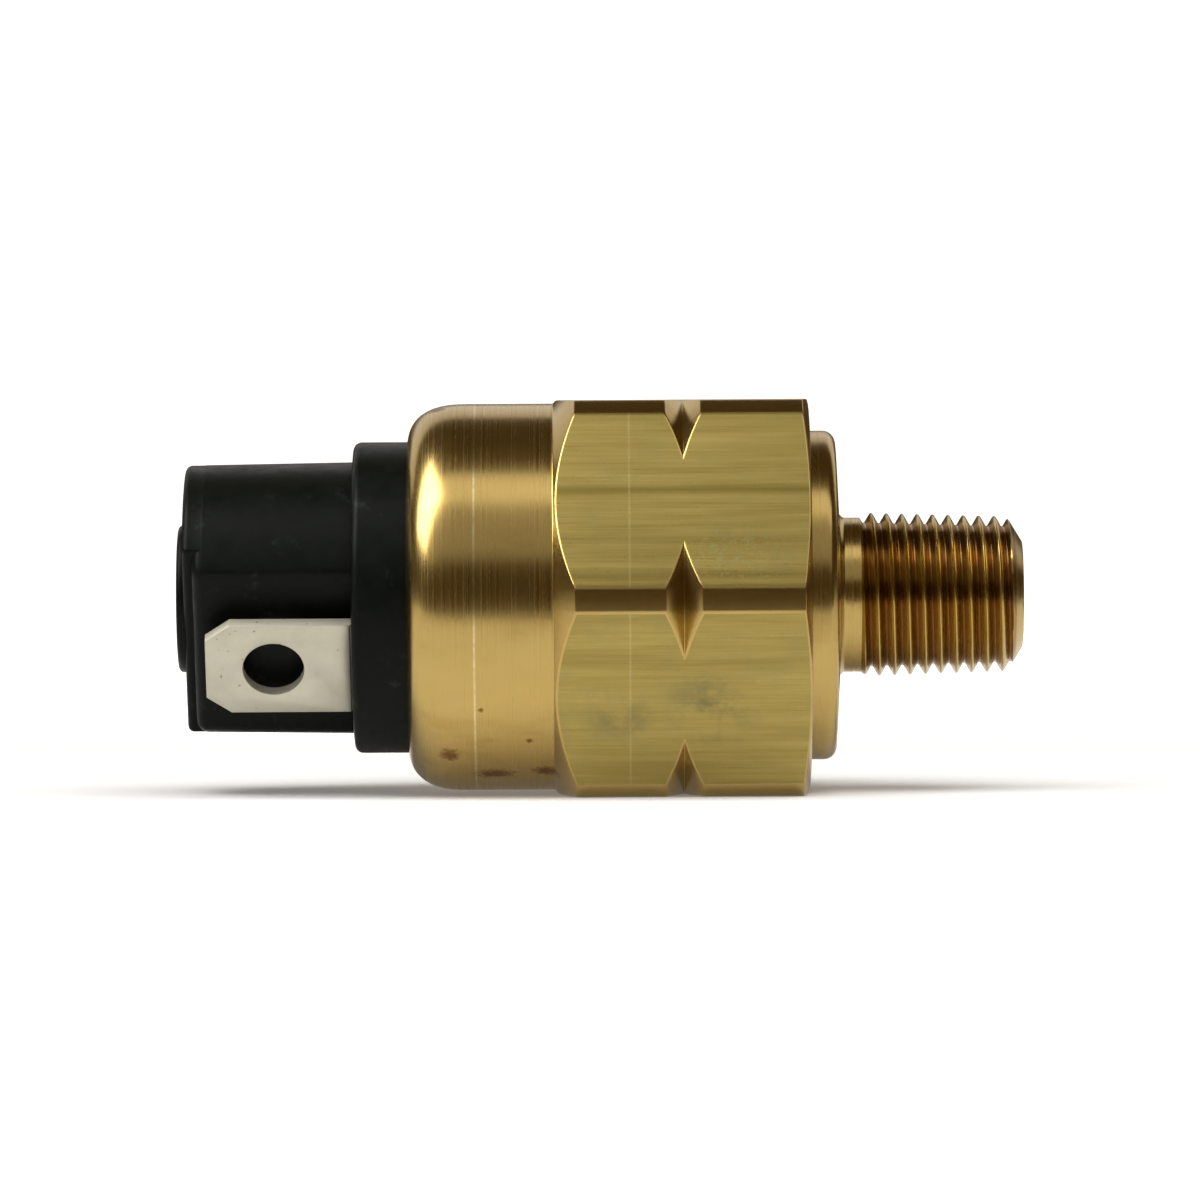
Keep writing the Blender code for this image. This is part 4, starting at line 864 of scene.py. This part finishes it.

# ---------------------------------------------------------------------------------------------------------
# The two coil springs: patented carbon steel wire, wound with one closed coil at each end. One tree winds
# both.


def spring_tree():
    """Points along a helix whose first and last turns lie close, swept with the round wire."""
    tree, add, size = new_tree("wound_spring", (
        "Start", "Mean radius", "Wire", "Closed pitch", "Open pitch", "Turns", "From turn", "To turn"),
        ("Points",))
    line = add("GeometryNodeMeshLine", {"Count": size["Points"]})
    share = add("DIVIDE", add("GeometryNodeInputIndex"), add("SUBTRACT", size["Points"], 1.0))
    shown_turns = add("SUBTRACT", size["To turn"], size["From turn"])
    at = add("ADD", size["From turn"], add("MULTIPLY", share, shown_turns))
    last_turn = add("SUBTRACT", size["Turns"], 1.0)
    closed = add("ADD", add("MINIMUM", at, 1.0), add("MAXIMUM", add("SUBTRACT", at, last_turn), 0.0))
    opened = add("MAXIMUM", add("SUBTRACT", add("MINIMUM", at, last_turn), 1.0), 0.0)
    along = add("ADD", add("MULTIPLY", closed, size["Closed pitch"]), add("MULTIPLY", opened, size["Open pitch"]))
    half_wire = add("MULTIPLY", size["Wire"], 0.5)
    angle = add("MULTIPLY", at, 2 * math.pi)
    wound = add("ShaderNodeCombineXYZ", add("SUBTRACT", add("SUBTRACT", size["Start"], half_wire), along),
                add("MULTIPLY", size["Mean radius"], add("COSINE", angle)),
                add("MULTIPLY", size["Mean radius"], add("SINE", angle)))
    helix = add("GeometryNodeSetPosition", {"Geometry": line, "Position": wound})
    curve = add("GeometryNodeMeshToCurve", {"Mesh": helix})
    section = add("GeometryNodeCurvePrimitiveCircle", {"Resolution": 20, "Radius": half_wire})
    swept = add("GeometryNodeCurveToMesh", {"Curve": curve, "Profile Curve": section, "Fill Caps": True})
    real = add("GeometryNodeRealizeInstances", {"Geometry": swept})
    dressed = add("GeometryNodeSetMaterial", {"Geometry": real, "Material": size["Material"]})
    add("NodeGroupOutput", {"Geometry": dressed})
    return tree


wound_spring = spring_tree()


def spring(name, node, near, far, follows_near_to, follows_far_from, start, length, mean_r, wire_size, pitch,
           share_from=0.0, share_to=1.0):
    """A spring, or a share of its turns, wound in place. The bodies that its ends would follow are not used."""
    closed_pitch = 1.12 * wire_size
    span = length - wire_size - 2 * closed_pitch
    open_turns = max(1.0, span / pitch)
    turns = open_turns + 2
    mesh = made_by(wound_spring, name, {
        "Start": start, "Mean radius": mean_r, "Wire": wire_size, "Closed pitch": closed_pitch,
        "Open pitch": span / open_turns, "Turns": turns, "From turn": turns * share_from,
        "To turn": turns * share_to, "Points": round(72 * turns * (share_to - share_from)), "Material": wire})
    bm = bmesh.new()
    bm.from_mesh(mesh)
    bmesh.ops.remove_doubles(bm, verts=bm.verts, dist=1e-7)
    bmesh.ops.recalc_face_normals(bm, faces=bm.faces)
    bm.to_mesh(mesh)
    bm.free()
    mesh.shade_smooth()
    mesh.set_sharp_from_angle(angle=math.radians(40))
    made = placed(name, mesh)
    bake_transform(made)
    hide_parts(node)


MAIN_START, MAIN_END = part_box("main_spring")[1][0] + 0.02 * MM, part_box("main_spring")[0][0]
MAIN_MIDDLE = (MAIN_START + MAIN_END) / 2
main_sizes = (MAIN_START, MAIN_START - MAIN_END, 1.95 * MM, 0.80 * MM, 1.55 * MM)
spring("main_spring_piston_end", "main_spring", "piston_group", "casing", MAIN_START - 1.7 * MM,
       MAIN_MIDDLE + 1.2 * MM, *main_sizes, 0.0, 0.5)
spring("main_spring_seat_end", "main_spring", "seat_group", "casing", MAIN_END + 1.7 * MM,
       MAIN_MIDDLE - 1.2 * MM, *main_sizes, 0.5, 1.0)
contact_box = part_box("contact_spring")
spring("contact_coil", "contact_spring", "piston_group", "contact_group", contact_box[1][0] - 0.45 * MM,
       contact_box[0][0] + 0.45 * MM, contact_box[1][0], contact_box[1][0] - contact_box[0][0], 3.70 * MM,
       0.40 * MM, 0.60 * MM)

# ---------------------------------------------------------------------------------------------------------
# The studio: pale paper that curves up into a wall, and a dim brown room, which turned brass shows as its
# dark bands. A soft key light and a dimmer panel hang over the front, two more stand behind and at the left,
# and a fill lights what is matt. Only the paper round the switch shows in the brass and takes a shadow.

FLOOR_Z = -FLAT_R - 0.03 * MM
WALL_AT = 1.4
FOOT_R = 0.5
FLOOR_EDGE = WALL_AT - FOOT_R + 0.002
FLOOR_SEEN_TO, FLOOR_SHADED_TO = -0.068, 0.075
FLOOR_LEFT, FLOOR_RIGHT = -0.30, 0.26


def wall_part(name, start, end):
    """Part of the round wall, between two angles in degrees from +X, with its foot curved out of the floor."""
    foot = [(WALL_AT - FOOT_R + FOOT_R * math.sin(a), FOOT_R - FOOT_R * math.cos(a))
            for a in [math.pi / 2 * i / 12 for i in range(13)]] + [(WALL_AT, 2.2)]
    steps = 48
    bm = bmesh.new()
    columns = []
    for i in range(steps + 1):
        angle = math.radians(start + (end - start) * i / steps)
        columns.append([bm.verts.new((r * math.cos(angle), r * math.sin(angle), FLOOR_Z + z)) for r, z in foot])
    skin(bm, columns[::-1], around=False)
    mesh = plain_mesh(name, bm)
    mesh.shade_smooth()
    return mesh


def floor_part(name, low_y, high_y, low_x=-FLOOR_EDGE, high_x=FLOOR_EDGE):
    """The round floor between two lines across it, and between two more that cross them."""
    steps = 64
    edge = []
    for side in (1, -1):
        for i in range(steps + 1):
            y = low_y + (high_y - low_y) * (i if side == 1 else steps - i) / steps
            x = side * math.sqrt(max(FLOOR_EDGE ** 2 - y ** 2, 0.0))
            edge.append((min(max(x, low_x), high_x), y, FLOOR_Z))
    bm = bmesh.new()
    bm.faces.new([bm.verts.new(p) for p in edge])
    bmesh.ops.remove_doubles(bm, verts=bm.verts, dist=1e-6)
    return plain_mesh(name, bm)


def studio_paper(name, glow):
    """Matt white seamless paper, with a trace of tooth. Its glow stands for light from all round the room."""
    made, add, place = finish(name, Roughness=0.9, Emission_Color=linear("#FFFFFF"), Emission_Strength=glow)
    tooth = add("ShaderNodeTexNoise", {"Vector": place, "Scale": 1 / (0.5 * MM)})
    shader = made.node_tree.nodes["Principled BSDF"].inputs
    made.node_tree.links.new(coated(add, linear("#F4F4F3"), (tooth, "#F7F7F6")), shader["Base Color"])
    return made


floor_paper = studio_paper("studio_paper", 0.15)
wall_paper = studio_paper("studio_wall_paper", 0.72)
for name, part, limits, paper in (
        ("studio_floor", floor_part, (FLOOR_SEEN_TO, FLOOR_SHADED_TO, FLOOR_LEFT, FLOOR_RIGHT), floor_paper),
        ("studio_floor_left", floor_part, (FLOOR_SEEN_TO, FLOOR_SHADED_TO, -FLOOR_EDGE, FLOOR_LEFT), wall_paper),
        ("studio_floor_right", floor_part, (FLOOR_SEEN_TO, FLOOR_SHADED_TO, FLOOR_RIGHT), wall_paper),
        ("studio_floor_back", floor_part, (FLOOR_SHADED_TO, FLOOR_EDGE), wall_paper),
        ("studio_floor_front", floor_part, (-FLOOR_EDGE, FLOOR_SEEN_TO), wall_paper),
        ("studio_wall_back", wall_part, (40, 118), wall_paper),
        ("studio_wall_front", wall_part, (118, 400), wall_paper)):
    shown = placed(name, part(name, *limits))
    shown.data.materials.append(paper)
    shown.visible_glossy = shown.visible_diffuse = paper is floor_paper


def soft_light(name, at, target, width, height, power, in_reflections=True, on_matt=True):
    """A soft box that the camera can't see, turned to its target."""
    light = bpy.data.lights.new(name, "AREA")
    light.shape = "RECTANGLE"
    light.size, light.size_y, light.energy = width, height, power
    made = placed(name, light)
    made.location = at
    made.rotation_euler = (Vector(target) - Vector(at)).to_track_quat("-Z", "Y").to_euler()
    made.visible_camera = False
    made.visible_glossy = in_reflections
    made.visible_diffuse = on_matt


MIDDLE = (-0.0218, 0.0, 0.0)
soft_light("key_softbox", (-0.02, -0.206, 0.51), MIDDLE, 1.1, 0.214, 0.96)
soft_light("dim_panel", (-0.02, -0.46, 0.386), MIDDLE, 1.3, 0.355, 0.62)
soft_light("back_softbox", (0.0, 0.87, 0.50), MIDDLE, 2.6, 0.50, 3.4, on_matt=False)
soft_light("left_softbox", (-0.40, -0.11, 0.385), MIDDLE, 0.34, 0.42, 3.2, on_matt=False)
soft_light("fill_from_above", (0.0, -0.9, 1.4), (0.0, 0.0, 0.0), 2.2, 2.2, 45.0, in_reflections=False)

world = bpy.data.worlds.new("dim_room")
bpy.context.scene.world = world
world.use_nodes = True
world.node_tree.nodes["Background"].inputs["Color"].default_value = linear("#4C3B1E")

CAMERA_DISTANCE = 0.520
CAMERA_ELEVATION = math.radians(1.3)
CAMERA_ROLL = math.radians(0.34)
camera = bpy.data.cameras.new("camera")
camera.lens = 255
camera.sensor_width = 36
viewer = placed("camera", camera)
aim = (-21.69 * MM, 0.0, -0.23 * MM)
viewer.location = (aim[0], -CAMERA_DISTANCE * math.cos(CAMERA_ELEVATION),
                   aim[2] + CAMERA_DISTANCE * math.sin(CAMERA_ELEVATION))
turned_up = Matrix.Rotation(math.pi / 2 - CAMERA_ELEVATION, 4, "X") @ Matrix.Rotation(-CAMERA_ROLL, 4, "Z")
viewer.rotation_euler = turned_up.to_euler()
bpy.context.scene.camera = viewer
bpy.context.scene.view_settings.view_transform = "Standard"
